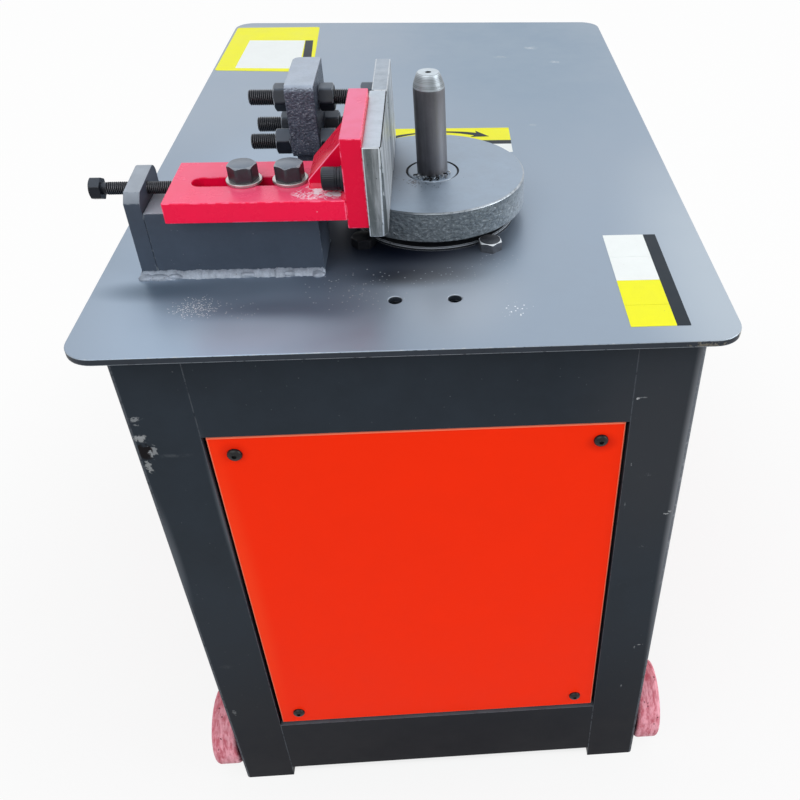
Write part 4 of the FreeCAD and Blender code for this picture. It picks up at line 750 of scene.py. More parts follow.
    @staticmethod
    def scuff(name: str) -> Tree:
        """One worn place or one patch of painted shading round a centre: a broken patch, thin lines, a
        smudge, dots or a plain painted shade.

        The patch is where 0.6 times the nearness, plus twice a noise, is over half of one minus
        Share. The lines are where a plain noise crosses its middle, kept here and there, so they
        are short arcs. The smudge fades both ways. The dots are small cells, and more of them are
        kept towards the centre. The shade is Share times the nearness, without a noise.
        """
        inputs = ("Vector", "Centre", "Reach", "Size", "Share")
        wires, here, centre, reach, size, share = Effects.start(name, inputs, [kind.value for kind in WearAndShading])
        away = wires.vector("DIVIDE", wires.vector("SUBTRACT", here, centre), reach)
        inside = wires.minus(1.0, wires.length(away))
        cells = wires.math("DIVIDE", 1.0, size)
        broken = wires.noise(here, cells, 6.0, 0.7)
        level = wires.times(wires.minus(1.0, share), 0.5)
        swing = wires.times(wires.minus(broken, 0.5), 2.0)
        lifted = wires.plus(wires.times(inside, 0.6), swing)
        over = wires.minus(lifted, level)
        near = wires.spread(inside, 0.0, 0.3)
        sharp = wires.times(over, 9.0, clamp=True)
        plain = wires.noise(here, cells, 0.5, 0.4)
        off = wires.math("ABSOLUTE", wires.minus(plain, 0.5))
        thin = wires.minus(1.0, wires.times(off, 11.0), clamp=True)
        lines = wires.times(thin, wires.spread(broken, 0.42, 0.54))
        soft = wires.spread(over, -0.1, 0.6)
        off_middle, pick = wires.cells(here, cells)
        dot = wires.spread(off_middle, 0.25, 0.45, (1.0, 0.0))
        fewer = wires.times(wires.math("MAXIMUM", inside, 0.0), share)
        return wires.gives(
            Patch=wires.times(sharp, near),
            Lines=wires.times(lines, near),
            Smudge=wires.times(soft, wires.spread(inside, 0.0, 0.8)),
            Dots=wires.times(dot, wires.math("LESS_THAN", pick, fewer)),
            Shade=wires.times(wires.spread(inside, 0.0, 0.85), share),
        )


# Finishes


class WearAndShading(Enum):
    """How a mark looks: four kinds of wear, and SHADE for painted light and shade; the value is the output of
    the scuff effect that draws it.
    """

    CHIP = "Patch"
    SCRATCH = "Lines"
    SMUDGE = "Smudge"
    DOTS = "Dots"
    SHADE = "Shade"


@dataclass(frozen=True)
class Mark:
    """A worn place or a patch of painted light or shade: centre and reach in millimetres, its colour, grain
    size, share and kind.
    """

    centre: Spot
    reach: Spot
    colour: Colour
    size: float = 2.5
    share: float = 0.5
    kind: WearAndShading = WearAndShading.CHIP


def shade(centre: Spot, reach: Spot, colour: Colour, share: float = 1.0) -> Mark:
    """Painted shading, lighter or darker: a soft change of tone, strongest at its centre."""
    return Mark(centre, reach, colour, share=share, kind=WearAndShading.SHADE)


@dataclass(frozen=True)
class Finish:
    """What every finish has: a name, a tone, and how it takes light."""

    name: str
    colour: Colour
    roughness: float = 0.5
    specular: float = 0.5
    metallic: float = 0.0
    mottle: float = 0.12
    mottle_size: float = 60.0
    grain: float = 0.0
    grain_size: float = 1.5
    grain_stretch: Spot = (1.0, 1.0, 1.0)
    # Painted shade with some grime in the bump relief's hollows, and a painted highlight on its crests
    relief_grime_and_shading: float = 0.0
    # Edge colour on rounded strips and bends: rubbed paint, and painted sheen where light catches them
    wear: float = 0.0
    edge_wear_and_sheen_colour: Colour = (0.45, 0.46, 0.47)
    speck: float = 0.0
    speck_size: float = 2.6
    speck_colour: Colour = (0.6, 0.6, 0.6)
    scratch: float = 0.0
    scratch_colour: Colour = (0.5, 0.5, 0.5)
    # Dust and painted sheen on faces that look up: how much, and its colour
    dust: float = 0.0
    dust_and_sheen_colour: Colour = (0.50, 0.57, 0.65)
    marks: tuple[Mark, ...] = ()

    def material(self) -> bpy.types.Material:
        """The finished material, made once."""
        name = f"{self.name}_finish"
        found = bpy.data.materials.get(name)
        if found:
            return found
        made = bpy.data.materials.new(name)
        made.use_nodes = True
        made.node_tree.nodes.clear()
        wires = Wiring(made.node_tree)
        shader = wires.add("ShaderNodeBsdfPrincipled", {
            "Specular IOR Level": self.specular, "Metallic": self.metallic})
        here = wires.add("ShaderNodeTexCoord").outputs["Object"]
        edge = wires.add("ShaderNodeAttribute", attribute_name="edge").outputs["Fac"]
        colour, roughness, height = self.surface(wires, here, edge)
        wires.feed(shader.inputs["Base Color"], colour)
        wires.feed(shader.inputs["Roughness"], roughness)
        if height is not None:
            bump = wires.add("ShaderNodeBump", {
                "Strength": 0.5, "Distance": self.grain * MM, "Height": height})
            wires.feed(shader.inputs["Normal"], bump.outputs["Normal"])
        out = wires.add("ShaderNodeOutputMaterial")
        wires.feed(out.inputs["Surface"], shader.outputs["BSDF"])
        return made

    def surface(self, wires: Wiring, here: Socket, edge: Socket) -> tuple:
        """Colour, roughness and height over the surface.

        Args:
            wires: Wiring of the material.
            here: Object coordinates.
            edge: Edge mask.

        Returns:
            The three sockets; height is None for a smooth finish.
        """
        tone = wires.effect("blotches", Vector=here, Size=self.mottle_size * MM, Contrast=2.2)
        low = tuple(c * (1 - self.mottle) for c in self.colour)
        high = tuple(min(1.0, c * (1 + self.mottle)) for c in self.colour)
        colour = wires.mix(tone, low, high)
        colour = self.pattern(wires, here, colour)
        if self.scratch:
            lines = wires.effect("scratches", Vector=here, Size=0.9 * MM, Share=self.scratch)
            colour = wires.mix(wires.times(lines, 0.6), colour, self.scratch_colour)
        if self.speck:
            spots = wires.effect("specks", Vector=here, Size=self.speck_size * MM, Share=self.speck)
            colour = wires.mix(spots, colour, self.speck_colour)
        swing = 0.06
        roughness = wires.spread(tone, 0.0, 1.0, (self.roughness - swing, self.roughness + swing))
        # Marks paint worn places, and with kind SHADE painted shadows and highlights
        for mark in self.marks:
            worn = wires.effect(
                "scuff", mark.kind.value, Vector=here, Centre=tuple(c * MM for c in mark.centre),
                Reach=tuple(r * MM for r in mark.reach), Size=mark.size * MM, Share=mark.share)
            colour = wires.mix(worn, colour, mark.colour)
        # Faces that look up are lightened: dust, and painted sheen where light falls on tops
        if self.dust:
            facing = wires.add("ShaderNodeTexCoord").outputs["Normal"]
            dust_and_sheen_mask = wires.effect("dust", Vector=here, Normal=facing, Amount=self.dust)
            colour = wires.mix(dust_and_sheen_mask, colour, self.dust_and_sheen_colour)
        # Rounded strips take the edge colour: rubbed paint and painted highlights along edges
        if self.wear:
            rubbed = wires.effect("edge_wear", Vector=here, Edge=edge, Amount=self.wear, Size=6 * MM)
            colour = wires.mix(rubbed, colour, self.edge_wear_and_sheen_colour)
        height = None
        if self.grain:
            drawn = wires.vector("MULTIPLY", here, self.grain_stretch)
            height = wires.noise(drawn, 1 / (self.grain_size * MM), 4.0, 0.6)
        # Painted shade with some grime in the low places of the bump relief, and a painted highlight on its
        # high places
        if self.relief_grime_and_shading:
            low = wires.mix(0.72, colour, (0.004, 0.005, 0.007))
            colour = wires.mix(wires.spread(height, 0.36, 0.50, (self.relief_grime_and_shading, 0.0)), colour, low)
            painted_relief_highlight = wires.mix(0.35, colour, (0.80, 0.86, 0.92))
            colour = wires.mix(wires.spread(height, 0.56, 0.68, (0.0, self.relief_grime_and_shading)), colour, painted_relief_highlight)
        return colour, roughness, height

    def pattern(self, wires: Wiring, here: Socket, colour: Socket) -> Socket:
        """A finish's own pattern over the mottled tone; a plain finish has none."""
        return colour

    def on(self, piece: Piece) -> Piece:
        """Gives the piece this finish alone and returns it."""
        piece.data.materials.clear()
        piece.data.materials.append(self.material())
        return piece


@dataclass(frozen=True)
class TurnedSteel(Finish):
    """Steel from a lathe: rings of tone and fine grooves round an axis through a centre in plan."""

    centre: Pair = (0.0, 0.0)
    pitch: float = 1.2
    by_height: bool = False
    ring_share: float = 0.25
    ring_tone: float = 0.72

    def surface(self, wires: Wiring, here: Socket, edge: Socket) -> tuple:
        """Colour, roughness and height over the surface, with rings in both."""
        colour, roughness = super().surface(wires, here, edge)[:2]
        if self.by_height:
            radius = wires.parts(here)["Z"]
        else:
            away = wires.vector("SUBTRACT", here, (self.centre[0] * MM, self.centre[1] * MM, 0.0))
            radius = wires.length(wires.vector("MULTIPLY", away, (1.0, 1.0, 0.0)))
        rings = wires.effect("rings", Radius=radius, Pitch=self.pitch * MM)
        dark = tuple(c * self.ring_tone for c in self.colour)
        colour = wires.mix(wires.times(rings, self.ring_share), colour, dark)
        return colour, roughness, rings.node.outputs["Height"]


@dataclass(frozen=True)
class Streaked(Finish):
    """A finish whose tone runs in streaks, dark and light, drawn out along one direction."""

    dark: Colour = (0.1, 0.1, 0.1)
    light: Colour = (0.4, 0.4, 0.4)
    stretch: Spot = (1.0, 1.0, 0.15)
    streak_size: float = 5.0
    streak_share: float = 0.8

    def pattern(self, wires: Wiring, here: Socket, colour: Socket) -> Socket:
        """The mottled tone with streaks of the dark and the light colour over it."""
        mask = wires.effect("streaks", Vector=here, Stretch=self.stretch, Size=self.streak_size * MM)
        return wires.mix(self.streak_share, colour, wires.mix(mask, self.dark, self.light))


# Painted shadows and reflections of the disc and the block, other painted shade and painted pale sheen on the
# table, then its smudges and specks
table_marks = (
    shade((0, -346, 750), (86, 28, 3), (0.007, 0.011, 0.019)),
    shade((0, -280, 750), (122, 98, 3), (0.004, 0.008, 0.036)),
    shade((-175, -302, 750), (158, 366, 3), (0.373, 0.480, 0.620), 0.85),
    shade((163, 377, 750), (300, 574, 3), (0.153, 0.237, 0.331), 0.66),
    shade((-87, -275, 750), (87, 220, 3), (0.043, 0.062, 0.105), 0.77),
    shade((-124, -399, 750), (109, 29, 3), (0.132, 0.165, 0.226), 0.87),
    shade((-241, -363, 750), (72, 25, 3), (0.075, 0.120, 0.174), 0.77),
    shade((312, -388, 750), (126, 407, 3), (0.416, 0.474, 0.535), 0.84),
    shade((36, -382, 750), (92, 108, 3), (0.430, 0.465, 0.520), 0.40),
    shade((-145, -433, 750), (110, 34, 3), (0.365, 0.455, 0.560), 0.88),
    shade((-175, -362, 750), (115, 58, 3), (0.103, 0.143, 0.200), 0.82),
    shade((-31, -259, 750), (173, 120, 3), (0.004, 0.007, 0.018), 0.96),
    Mark((175, 335, 750), (18, 13, 3), (0.42, 0.47, 0.52), 5.0, 0.55, WearAndShading.SMUDGE),
    Mark((207, 269, 750), (14, 11, 3), (0.42, 0.47, 0.52), 5.0, 0.50, WearAndShading.SMUDGE),
    Mark((124, 293, 750), (22, 10, 3), (0.33, 0.38, 0.43), 5.0, 0.50, WearAndShading.SMUDGE),
    Mark((151, 25, 750), (12, 9, 3), (0.33, 0.38, 0.43), 5.0, 0.48, WearAndShading.SMUDGE),
    Mark((-200, -394, 750), (26, 23, 3), (0.95, 0.96, 0.98), 1.35, 0.95, WearAndShading.DOTS),
    Mark((-165, -400, 750), (34, 20, 3), (0.45, 0.48, 0.53), 2.0, 0.20, WearAndShading.DOTS),
    Mark((-50, -368, 750), (58, 46, 3), (0.40, 0.43, 0.48), 2.2, 0.24, WearAndShading.DOTS),
    Mark((40, -350, 750), (70, 34, 3), (0.36, 0.40, 0.45), 2.2, 0.18, WearAndShading.DOTS),
    Mark((98, -412, 750), (24, 17, 3), (0.85, 0.88, 0.92), 2.1, 0.22, WearAndShading.DOTS),
    Mark((90, -318, 750), (30, 24, 3), (0.33, 0.37, 0.43), 2.2, 0.16, WearAndShading.DOTS),
)

# The chips, rubbed places and smears of the cabinet's front, with painted highlights down the posts' edges, a
# painted lighter top on the right post, and painted shade low down
cabinet_marks = (
    Mark((-263, -441, 660), (9, 8, 5), (0.20, 0.21, 0.22), 4.0, 0.46),
    Mark((-263, -441, 653), (5, 8, 2.5), (0.15, 0.16, 0.17), 2.5, 0.45),
    Mark((-264, -441, 636), (9, 8, 7.5), (0.25, 0.26, 0.265), 4.0, 0.62),
    Mark((-254.5, -441, 621), (4, 8, 10), (0.22, 0.23, 0.24), 3.0, 0.60),
    Mark((-264.5, -441, 600), (5, 8, 11), (0.23, 0.24, 0.245), 3.6, 0.62),
    Mark((-263.5, -441, 620), (9.5, 8, 13.5), (0.0035, 0.0028, 0.004), 9.0, 0.95),
    Mark((-259, -441, 617), (6, 8, 12), (0.24, 0.25, 0.26), 3.2, 0.34),
    Mark((-265, -441, 638), (9, 8, 3.2), (0.28, 0.29, 0.30), 3.0, 0.60),
    Mark((-238, -441, 613), (28, 8, 5), (0.056, 0.064, 0.074), 6.0, 0.60, WearAndShading.SMUDGE),
    # Painted highlights down the left post's outer edge and beside the panel
    shade((-270, -441, 470), (9, 9, 120), (0.095, 0.106, 0.122), 0.85),
    shade((-207, -441, 520), (6, 8, 150), (0.105, 0.118, 0.135), 0.85),
    Mark((-254, -441, 264), (15, 8, 9), (0.062, 0.071, 0.080), 3.0, 0.5, WearAndShading.SMUDGE),
    Mark((-261, -441, 164), (4, 8, 10), (0.24, 0.25, 0.26), 3.0, 0.45),
    Mark((-206, -441, 633), (2.5, 8, 3), (0.30, 0.32, 0.34), 3.0, 0.6),
    # Painted shade low down on the front, a painted lighter top on the right post and a painted highlight
    # down its outer bend
    shade((0, -441, -30), (900, 60, 460), (0.0030, 0.0032, 0.0065)),
    shade((240, -441, 600), (120, 60, 240), (0.034, 0.037, 0.043), 0.75),
    shade((273, -441, 540), (12, 16, 420), (0.235, 0.245, 0.265), 0.95),
    Mark((213, -441, 664), (2.2, 8, 2.2), (0.34, 0.35, 0.36), 3.0, 0.6),
    Mark((219, -441, 665), (6, 8, 1.4), (0.15, 0.16, 0.17), 2.0, 0.5),
    Mark((261, -441, 499.5), (5, 8, 1.7), (0.30, 0.31, 0.32), 2.0, 0.55),
    Mark((266, -441, 503), (4.5, 8, 2.0), (0.34, 0.35, 0.36), 2.0, 0.60),
    Mark((251, -441, 256.5), (1.2, 8, 4.0), (0.17, 0.18, 0.19), 2.0, 0.60),
    Mark((257, -441, 261.5), (6.5, 8, 1.3), (0.22, 0.23, 0.24), 2.0, 0.55),
    Mark((242, -441, 172), (1.3, 8, 5.0), (0.17, 0.18, 0.19), 2.0, 0.60),
    Mark((215, -441, 576), (1.3, 8, 5.0), (0.20, 0.21, 0.22), 2.0, 0.60),
    Mark((214, -441, 517), (1.2, 8, 7.0), (0.12, 0.13, 0.14), 2.0, 0.60),
    Mark((233, -441, 560), (12, 8, 8), (0.075, 0.080, 0.088), 2.4, 0.14),
    Mark((240, -441, 448), (9, 8, 4), (0.080, 0.086, 0.094), 2.0, 0.20),
)

# The scratched and rubbed places on the bracket's top, beside the jaw plate
bracket_marks = (
    Mark((-80, -342, 836), (29, 15, 3), (1.0, 0.92, 0.96), 6.0, 0.7, WearAndShading.SCRATCH),
    Mark((-90, -345, 836), (18, 10, 3), (1.0, 0.80, 0.87), 3.6, 0.6, WearAndShading.SCRATCH),
    Mark((-83, -337, 836), (6, 9, 3), (1.0, 0.98, 1.0), 4.0, 0.78),
    Mark((-68, -343, 836), (12, 7, 4), (1.0, 0.98, 1.0), 4.0, 0.76),
    Mark((-78, -350, 836), (22, 3, 3), (0.95, 0.60, 0.72), 2.0, 0.30, WearAndShading.DOTS),
    Mark((-93, -327, 838), (4, 4, 6), (0.95, 0.62, 0.72), 2.4, 0.40),
)


class Finishes:
    """Every finish of the machine, by the part that carries it."""

    # The top is much lighter than its side faces: the same dark paint with painted sheen
    table = Finish(
        "table_paint_and_sheen", (0.262, 0.322, 0.402), roughness=0.36, specular=0.25, metallic=0.42, mottle=0.05,
        mottle_size=140.0, grain=0.012, grain_size=2.0, wear=0.28, edge_wear_and_sheen_colour=(0.40, 0.43, 0.46),
        marks=table_marks,
    )
    table_edge = Finish(
        "table_edge_paint", (0.022, 0.028, 0.038), specular=0.2, mottle=0.25,
        mottle_size=40.0, grain=0.03, wear=0.55, edge_wear_and_sheen_colour=(0.22, 0.25, 0.28),
        marks=(
            Mark((297, -455, 746), (7, 12, 8), (0.42, 0.40, 0.36), 2.5, 0.45),
            Mark((262, -470, 745), (30, 6, 6), (0.13, 0.12, 0.10), 3.0, 0.34),
        ),
    )
    # Its edge colour on the sheet bends is rubbed paint and painted sheen
    cabinet = Finish(
        "cabinet_paint", (0.0195, 0.0262, 0.0350), roughness=0.46, specular=0.09, mottle=0.20,
        mottle_size=120.0, grain=0.03, grain_size=1.4, wear=0.50, edge_wear_and_sheen_colour=(0.080, 0.092, 0.108),
        speck=0.006, speck_size=2.0, speck_colour=(0.085, 0.095, 0.105), dust=0.15,
        marks=cabinet_marks,
    )
    # Its edge colour on the bends is rubbed paint and painted highlight
    panel = Finish(
        "panel_paint", (0.985, 0.026, 0.0012), roughness=0.42, specular=0.06, mottle=0.03,
        mottle_size=200.0, grain=0.02, grain_size=1.6, wear=0.85, edge_wear_and_sheen_colour=(1.0, 0.25, 0.14),
        dust=0.2, dust_and_sheen_colour=(0.95, 0.35, 0.25),
        marks=(
            # A painted highlight down the left bend, and painted shade in the dimples round the top screws
            shade((-206, -439, 400), (24, 9, 360), (1.0, 0.052, 0.010), 0.90),
            shade((-181, -439, 612), (18, 9, 17), (0.66, 0.010, 0.001), 0.60),
            shade((183, -439, 606), (21, 9, 17), (0.60, 0.009, 0.001), 0.70),
        ),
    )
    bracket = Finish(
        "bracket_paint", (0.90, 0.004, 0.056), roughness=0.26, specular=0.19, mottle=0.05,
        mottle_size=70.0, grain=0.008, grain_size=1.2, wear=0.40, edge_wear_and_sheen_colour=(0.95, 0.13, 0.24),
        speck=0.002, speck_size=2.0, speck_colour=(0.9, 0.30, 0.40), dust=0.24,
        dust_and_sheen_colour=(0.92, 0.37, 0.66),
        marks=bracket_marks,
    )
    upright = replace(bracket, name="upright_paint", colour=(0.74, 0.0032, 0.040), specular=0.12, dust=0.42)
    # Its light edge colour is rubbed paint and painted highlights along the gusset's edges
    gusset = replace(upright, name="gusset_paint", dust=0.0, specular=0.05, wear=0.75,
                     edge_wear_and_sheen_colour=(0.98, 0.24, 0.38))
    block = Finish(
        "block_paint", (0.050, 0.066, 0.094), roughness=0.42, specular=0.25, mottle=0.14,
        mottle_size=35.0, grain=0.05, grain_size=1.4, wear=0.30, edge_wear_and_sheen_colour=(0.16, 0.19, 0.22),
        speck=0.006, speck_size=1.8, speck_colour=(0.14, 0.16, 0.19), dust=0.60,
        dust_and_sheen_colour=(0.55, 0.61, 0.69),
        marks=(Mark((-252, -300, 852), (5, 5, 6), (0.16, 0.18, 0.20), 6.0, 0.5, WearAndShading.SMUDGE),),
    )
    weld = Finish(
        "weld_steel", (0.235, 0.275, 0.335), roughness=0.40, specular=0.4, metallic=0.2, mottle=0.35,
        mottle_size=6.0, grain=0.35, grain_size=1.6, speck=0.05, speck_colour=(0.12, 0.13, 0.15),
    )
    hidden_weld = Finish(
        "weld_painted_over", (0.080, 0.092, 0.108), roughness=0.45, specular=0.3, mottle=0.30,
        mottle_size=7.0, grain=0.12, grain_size=1.0, speck=0.06, speck_colour=(0.16, 0.17, 0.18),
    )
    red_weld = Finish(
        "painted_weld", (0.74, 0.005, 0.046), roughness=0.40, specular=0.2, mottle=0.2,
        mottle_size=12.0, grain=0.10, grain_size=1.0, dust=0.15, dust_and_sheen_colour=(0.98, 0.46, 0.62),
    )
    jaw = Streaked(
        "jaw_steel", (0.170, 0.190, 0.200), roughness=0.36, metallic=0.6, mottle=0.25,
        mottle_size=14.0, grain=0.08, grain_size=0.9, wear=0.58, edge_wear_and_sheen_colour=(0.48, 0.52, 0.56),
        speck=0.03, speck_size=2.2, speck_colour=(0.06, 0.065, 0.07), scratch=0.34,
        scratch_colour=(0.50, 0.53, 0.56), dust=0.80, dust_and_sheen_colour=(0.47, 0.54, 0.63),
        dark=(0.075, 0.088, 0.094), light=(0.330, 0.355, 0.380), stretch=(1.0, 1.0, 0.13),
        streak_size=10.0, streak_share=0.85,
    )
    rear_jaw = replace(jaw, name="rear_jaw_steel", dust_and_sheen_colour=(0.30, 0.36, 0.44))
    worked = replace(
        jaw, name="worked_face_steel", colour=(0.385, 0.415, 0.445), roughness=0.42, metallic=0.5,
        dark=(0.15, 0.165, 0.18), light=(0.72, 0.76, 0.80), speck=0.02,
    )
    # Its edge colour on the cones of bolt heads and nuts is rubbed steel and painted highlight
    black = Finish(
        "black_oxide", (0.031, 0.035, 0.044), roughness=0.36, metallic=0.35, mottle=0.35,
        mottle_size=6.0, grain=0.08, grain_size=1.0, wear=0.50, edge_wear_and_sheen_colour=(0.26, 0.29, 0.33),
        dust=0.38, dust_and_sheen_colour=(0.37, 0.455, 0.57),
    )
    nut = replace(black, name="nut_steel", colour=(0.016, 0.021, 0.031), specular=0.25, metallic=0.08,
                  dust=0.24)
    # Thread crests: rubbed steel with a painted highlight
    crest = Finish(
        "thread_crest_rubbed_and_lit", (0.115, 0.118, 0.130), roughness=0.34, metallic=0.5, mottle=0.30,
        mottle_size=4.0, grain=0.03, grain_size=0.8,
    )
    oiled = Finish(
        "oiled_screw_steel", (0.011, 0.013, 0.018), roughness=0.34, specular=0.15,
        mottle=0.30, mottle_size=6.0, grain=0.05, grain_size=0.8, wear=0.3, edge_wear_and_sheen_colour=(0.20, 0.21, 0.22),
        dust=0.14, dust_and_sheen_colour=(0.36, 0.42, 0.50),
    )
    # Its light edge colour is rubbed steel and painted highlights on the heads
    floor_bolt = Finish(
        "floor_bolt_steel", (0.062, 0.068, 0.080), roughness=0.36, metallic=0.4, mottle=0.40,
        mottle_size=4.0, grain=0.15, grain_size=1.2, wear=0.85, edge_wear_and_sheen_colour=(0.62, 0.66, 0.70),
    )
    shaded_bolt = replace(floor_bolt, name="shaded_bolt_steel", colour=(0.010, 0.011, 0.014), metallic=0.0,
                          specular=0.15, wear=0.35, edge_wear_and_sheen_colour=(0.07, 0.08, 0.09))
    screw = Finish(
        "panel_screw_steel", (0.009, 0.009, 0.010), roughness=0.30, specular=0.25, mottle=0.25,
        mottle_size=5.0, grain=0.03, grain_size=0.8,
    )
    plated = Finish(
        "plated_steel", (0.46, 0.45, 0.45), roughness=0.32, metallic=0.8, mottle=0.15,
        mottle_size=8.0, grain=0.02, grain_size=0.8,
    )
    cast = Finish(
        "cast_iron", (0.068, 0.088, 0.130), roughness=0.38, specular=0.6, metallic=0.2, mottle=0.20,
        mottle_size=12.0, grain=1.8, grain_size=2.0, grain_stretch=(1.0, 1.0, 1.7), relief_grime_and_shading=0.80,
        dust=0.66, dust_and_sheen_colour=(0.49, 0.57, 0.69),
    )
    cast_top = replace(cast, name="cast_iron_top", grain=0.3, relief_grime_and_shading=0.10)
    disc = Finish(
        "disc_top_steel", (0.260, 0.322, 0.402), roughness=0.42, metallic=0.52,
        mottle_size=26.0, grain=0.03, grain_size=1.0, scratch=0.22, scratch_colour=(0.40, 0.44, 0.48),
        speck=0.010, speck_size=2.0, speck_colour=(0.12, 0.135, 0.16),
        marks=(
            # Painted shade over the left of the disc's top
            shade((-46, -212, 797), (76, 118, 3), (0.058, 0.066, 0.084), 0.90),
            Mark((10, -246, 797), (22, 14, 3), (0.05, 0.055, 0.07), 2.2, 0.34, WearAndShading.DOTS),
            Mark((2, -240, 797), (16, 14, 3), (0.07, 0.075, 0.09), 2.2, 0.26),
            Mark((-30, -225, 797), (24, 40, 3), (0.07, 0.08, 0.10), 2.4, 0.30, WearAndShading.DOTS),
        ),
    )
    disc_rim = Finish(
        "disc_rim_steel", (0.36, 0.40, 0.44), roughness=0.32, metallic=0.6, mottle=0.45,
        mottle_size=5.0, grain=0.04, grain_size=0.9, speck=0.25, speck_size=2.4,
        speck_colour=(0.13, 0.15, 0.17),
        # Painted shade on the left front of the rim
        marks=(shade((-30, -300, 796), (120, 90, 14), (0.09, 0.105, 0.12), 0.95),),
    )
    # Near black: painted shade in gaps and recesses, and dark oily swarf
    gap_shade_and_oil = Finish("painted_gap_shade_and_oil", (0.008, 0.009, 0.011), roughness=0.6, specular=0.2, mottle=0.3, mottle_size=4.0)
    disc_side = Finish(
        "disc_side_cast", (0.138, 0.163, 0.182), roughness=0.32, specular=0.6, metallic=0.50, mottle=0.10,
        mottle_size=12.0, grain=1.6, grain_size=3.2, grain_stretch=(1.0, 1.0, 1.5), relief_grime_and_shading=0.54,
        # A painted highlight on the right of the side
        marks=(shade((118, -225, 776), (62, 84, 44), (0.50, 0.55, 0.60), 0.90),),
    )
    # Its edge colour is a painted highlight along the cap's top edge as well as rubbed steel
    cap = Finish(
        "cap_steel", (0.012, 0.014, 0.018), specular=0.2, mottle=0.30,
        mottle_size=9.0, grain=0.20, grain_size=1.6, wear=0.60, edge_wear_and_sheen_colour=(0.28, 0.31, 0.35),
    )
    pin = Streaked(
        "pin_steel", (0.070, 0.070, 0.080), roughness=0.36, metallic=0.60, mottle=0.25,
        mottle_size=14.0, grain=0.03, grain_size=0.9, scratch=0.2, scratch_colour=(0.2, 0.2, 0.21),
        dark=(0.045, 0.043, 0.050), light=(0.130, 0.128, 0.138), stretch=(1.0, 1.0, 0.05),
        streak_size=8.0, streak_share=0.36,
        # A painted highlight down the pin's right side
        marks=(shade((38, -226, 838), (21, 24, 90), (0.26, 0.262, 0.28), 0.85),),
    )
    pin_end = TurnedSteel(
        "pin_end_steel", (0.52, 0.585, 0.64), roughness=0.42, metallic=0.70, mottle=0.15,
        mottle_size=10.0, grain=0.05, centre=(20.5, -213.0), pitch=2.2, by_height=True, ring_share=0.9,
        ring_tone=0.36,
    )
    pin_groove = replace(pin_end, name="pin_groove_steel", colour=(0.36, 0.405, 0.44))
    swarf = Finish(
        "swarf_steel", (0.50, 0.53, 0.56), roughness=0.25, metallic=0.9, mottle=0.5, mottle_size=2.0,
        grain=0.02,
    )
    machined = Finish(
        "machined_steel", (0.30, 0.31, 0.325), roughness=0.34, metallic=0.8, mottle=0.15,
        mottle_size=20.0, grain=0.02, grain_size=0.7,
    )
    wheel = Streaked(
        "wheel_paint", (0.70, 0.18, 0.22), roughness=0.55, specular=0.3, mottle=0.30,
        mottle_size=9.0, grain=0.20, grain_size=1.6, wear=0.5, edge_wear_and_sheen_colour=(0.80, 0.50, 0.54),
        speck=0.10, speck_size=4.5, speck_colour=(0.10, 0.012, 0.02),
        dark=(0.40, 0.055, 0.09), light=(0.90, 0.48, 0.56), stretch=(1.0, 0.28, 0.28),
        streak_size=4.5, streak_share=0.7,
        marks=(
            Mark((290, -425, 14), (30, 26, 16), (0.16, 0.07, 0.04), 5.0, 0.40),
            Mark((-290, -425, 14), (30, 26, 16), (0.16, 0.07, 0.04), 5.0, 0.44),
        ),
    )
    rubber = Finish("belt_rubber", (0.022, 0.022, 0.023), roughness=0.75, mottle=0.2, grain=0.05)
    motor = Finish("motor_paint", (0.16, 0.21, 0.26), roughness=0.45, mottle=0.08, grain=0.03)
    box = Finish("box_paint", (0.45, 0.47, 0.48), roughness=0.45, mottle=0.05, grain=0.03)
    gland = Finish("gland_plastic", (0.030, 0.030, 0.034), mottle=0.08, grain=0.02)
    yellow = Finish(
        "label_yellow", (0.88, 0.855, 0.018), roughness=0.45, specular=0.15, mottle=0.03, mottle_size=30.0,
        speck=0.006, speck_size=1.5, speck_colour=(0.5, 0.47, 0.10),
    )
    white = Finish(
        "label_white", (0.84, 0.87, 0.86), roughness=0.45, specular=0.15, mottle=0.03, mottle_size=30.0,
        speck=0.006, speck_size=1.5, speck_colour=(0.55, 0.57, 0.56),
    )
    ink = Finish("label_ink", (0.012, 0.020, 0.030), roughness=0.45, specular=0.15, mottle=0.1)


def stand_in(piece: Piece, finish: Finish, *nodes: str) -> Piece:
    """Dresses a piece and puts it in the place of solids, on their body.

    Args:
        piece: The new piece, in place.
        finish: Its finish.
        *nodes: The solids it stands for.

    Returns:
        The piece.
    """
    finish.on(piece)
    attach(piece, body_of[nodes[0]])
    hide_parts(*nodes)
    return piece


def faces_of(piece: Piece) -> tuple[Array, Array]:
    """The middles, in metres, and the normals of a piece's faces."""
    return read(piece.data.polygons, "center"), read(piece.data.polygons, "normal")


def second_finish(piece: Piece, finish: Finish, chosen: Array) -> None:
    """Gives some faces of a dressed piece another finish.

    Args:
        piece: The dressed piece.
        finish: Finish for the chosen faces.
        chosen: True for each face that gets it.
    """
    slots = read_slots(piece.data.polygons)
    slots[chosen] = len(piece.data.materials)
    piece.data.materials.append(finish.material())
    piece.data.polygons.foreach_set("material_index", slots)


def crests(piece: Piece, spots: Sequence[Pair], radius: float, start: float) -> None:
    """Gives the crests of threads along X their rubbed finish, lighter also as a painted highlight.

    Args:
        piece: The dressed piece.
        spots: (Y, Z) of each thread's axis in millimetres.
        radius: Outer radius of the thread.
        start: Where the thread starts along X.
    """
    below, band = 0.2, 0.3
    middle = faces_of(piece)[0]
    away = np.linalg.norm(middle[:, None, 1:] / MM - np.array(spots)[None], axis=2).min(axis=1)
    crest = (np.abs(away - radius + below) < band) & (middle[:, 0] > start * MM)
    second_finish(piece, Finishes.crest, crest)


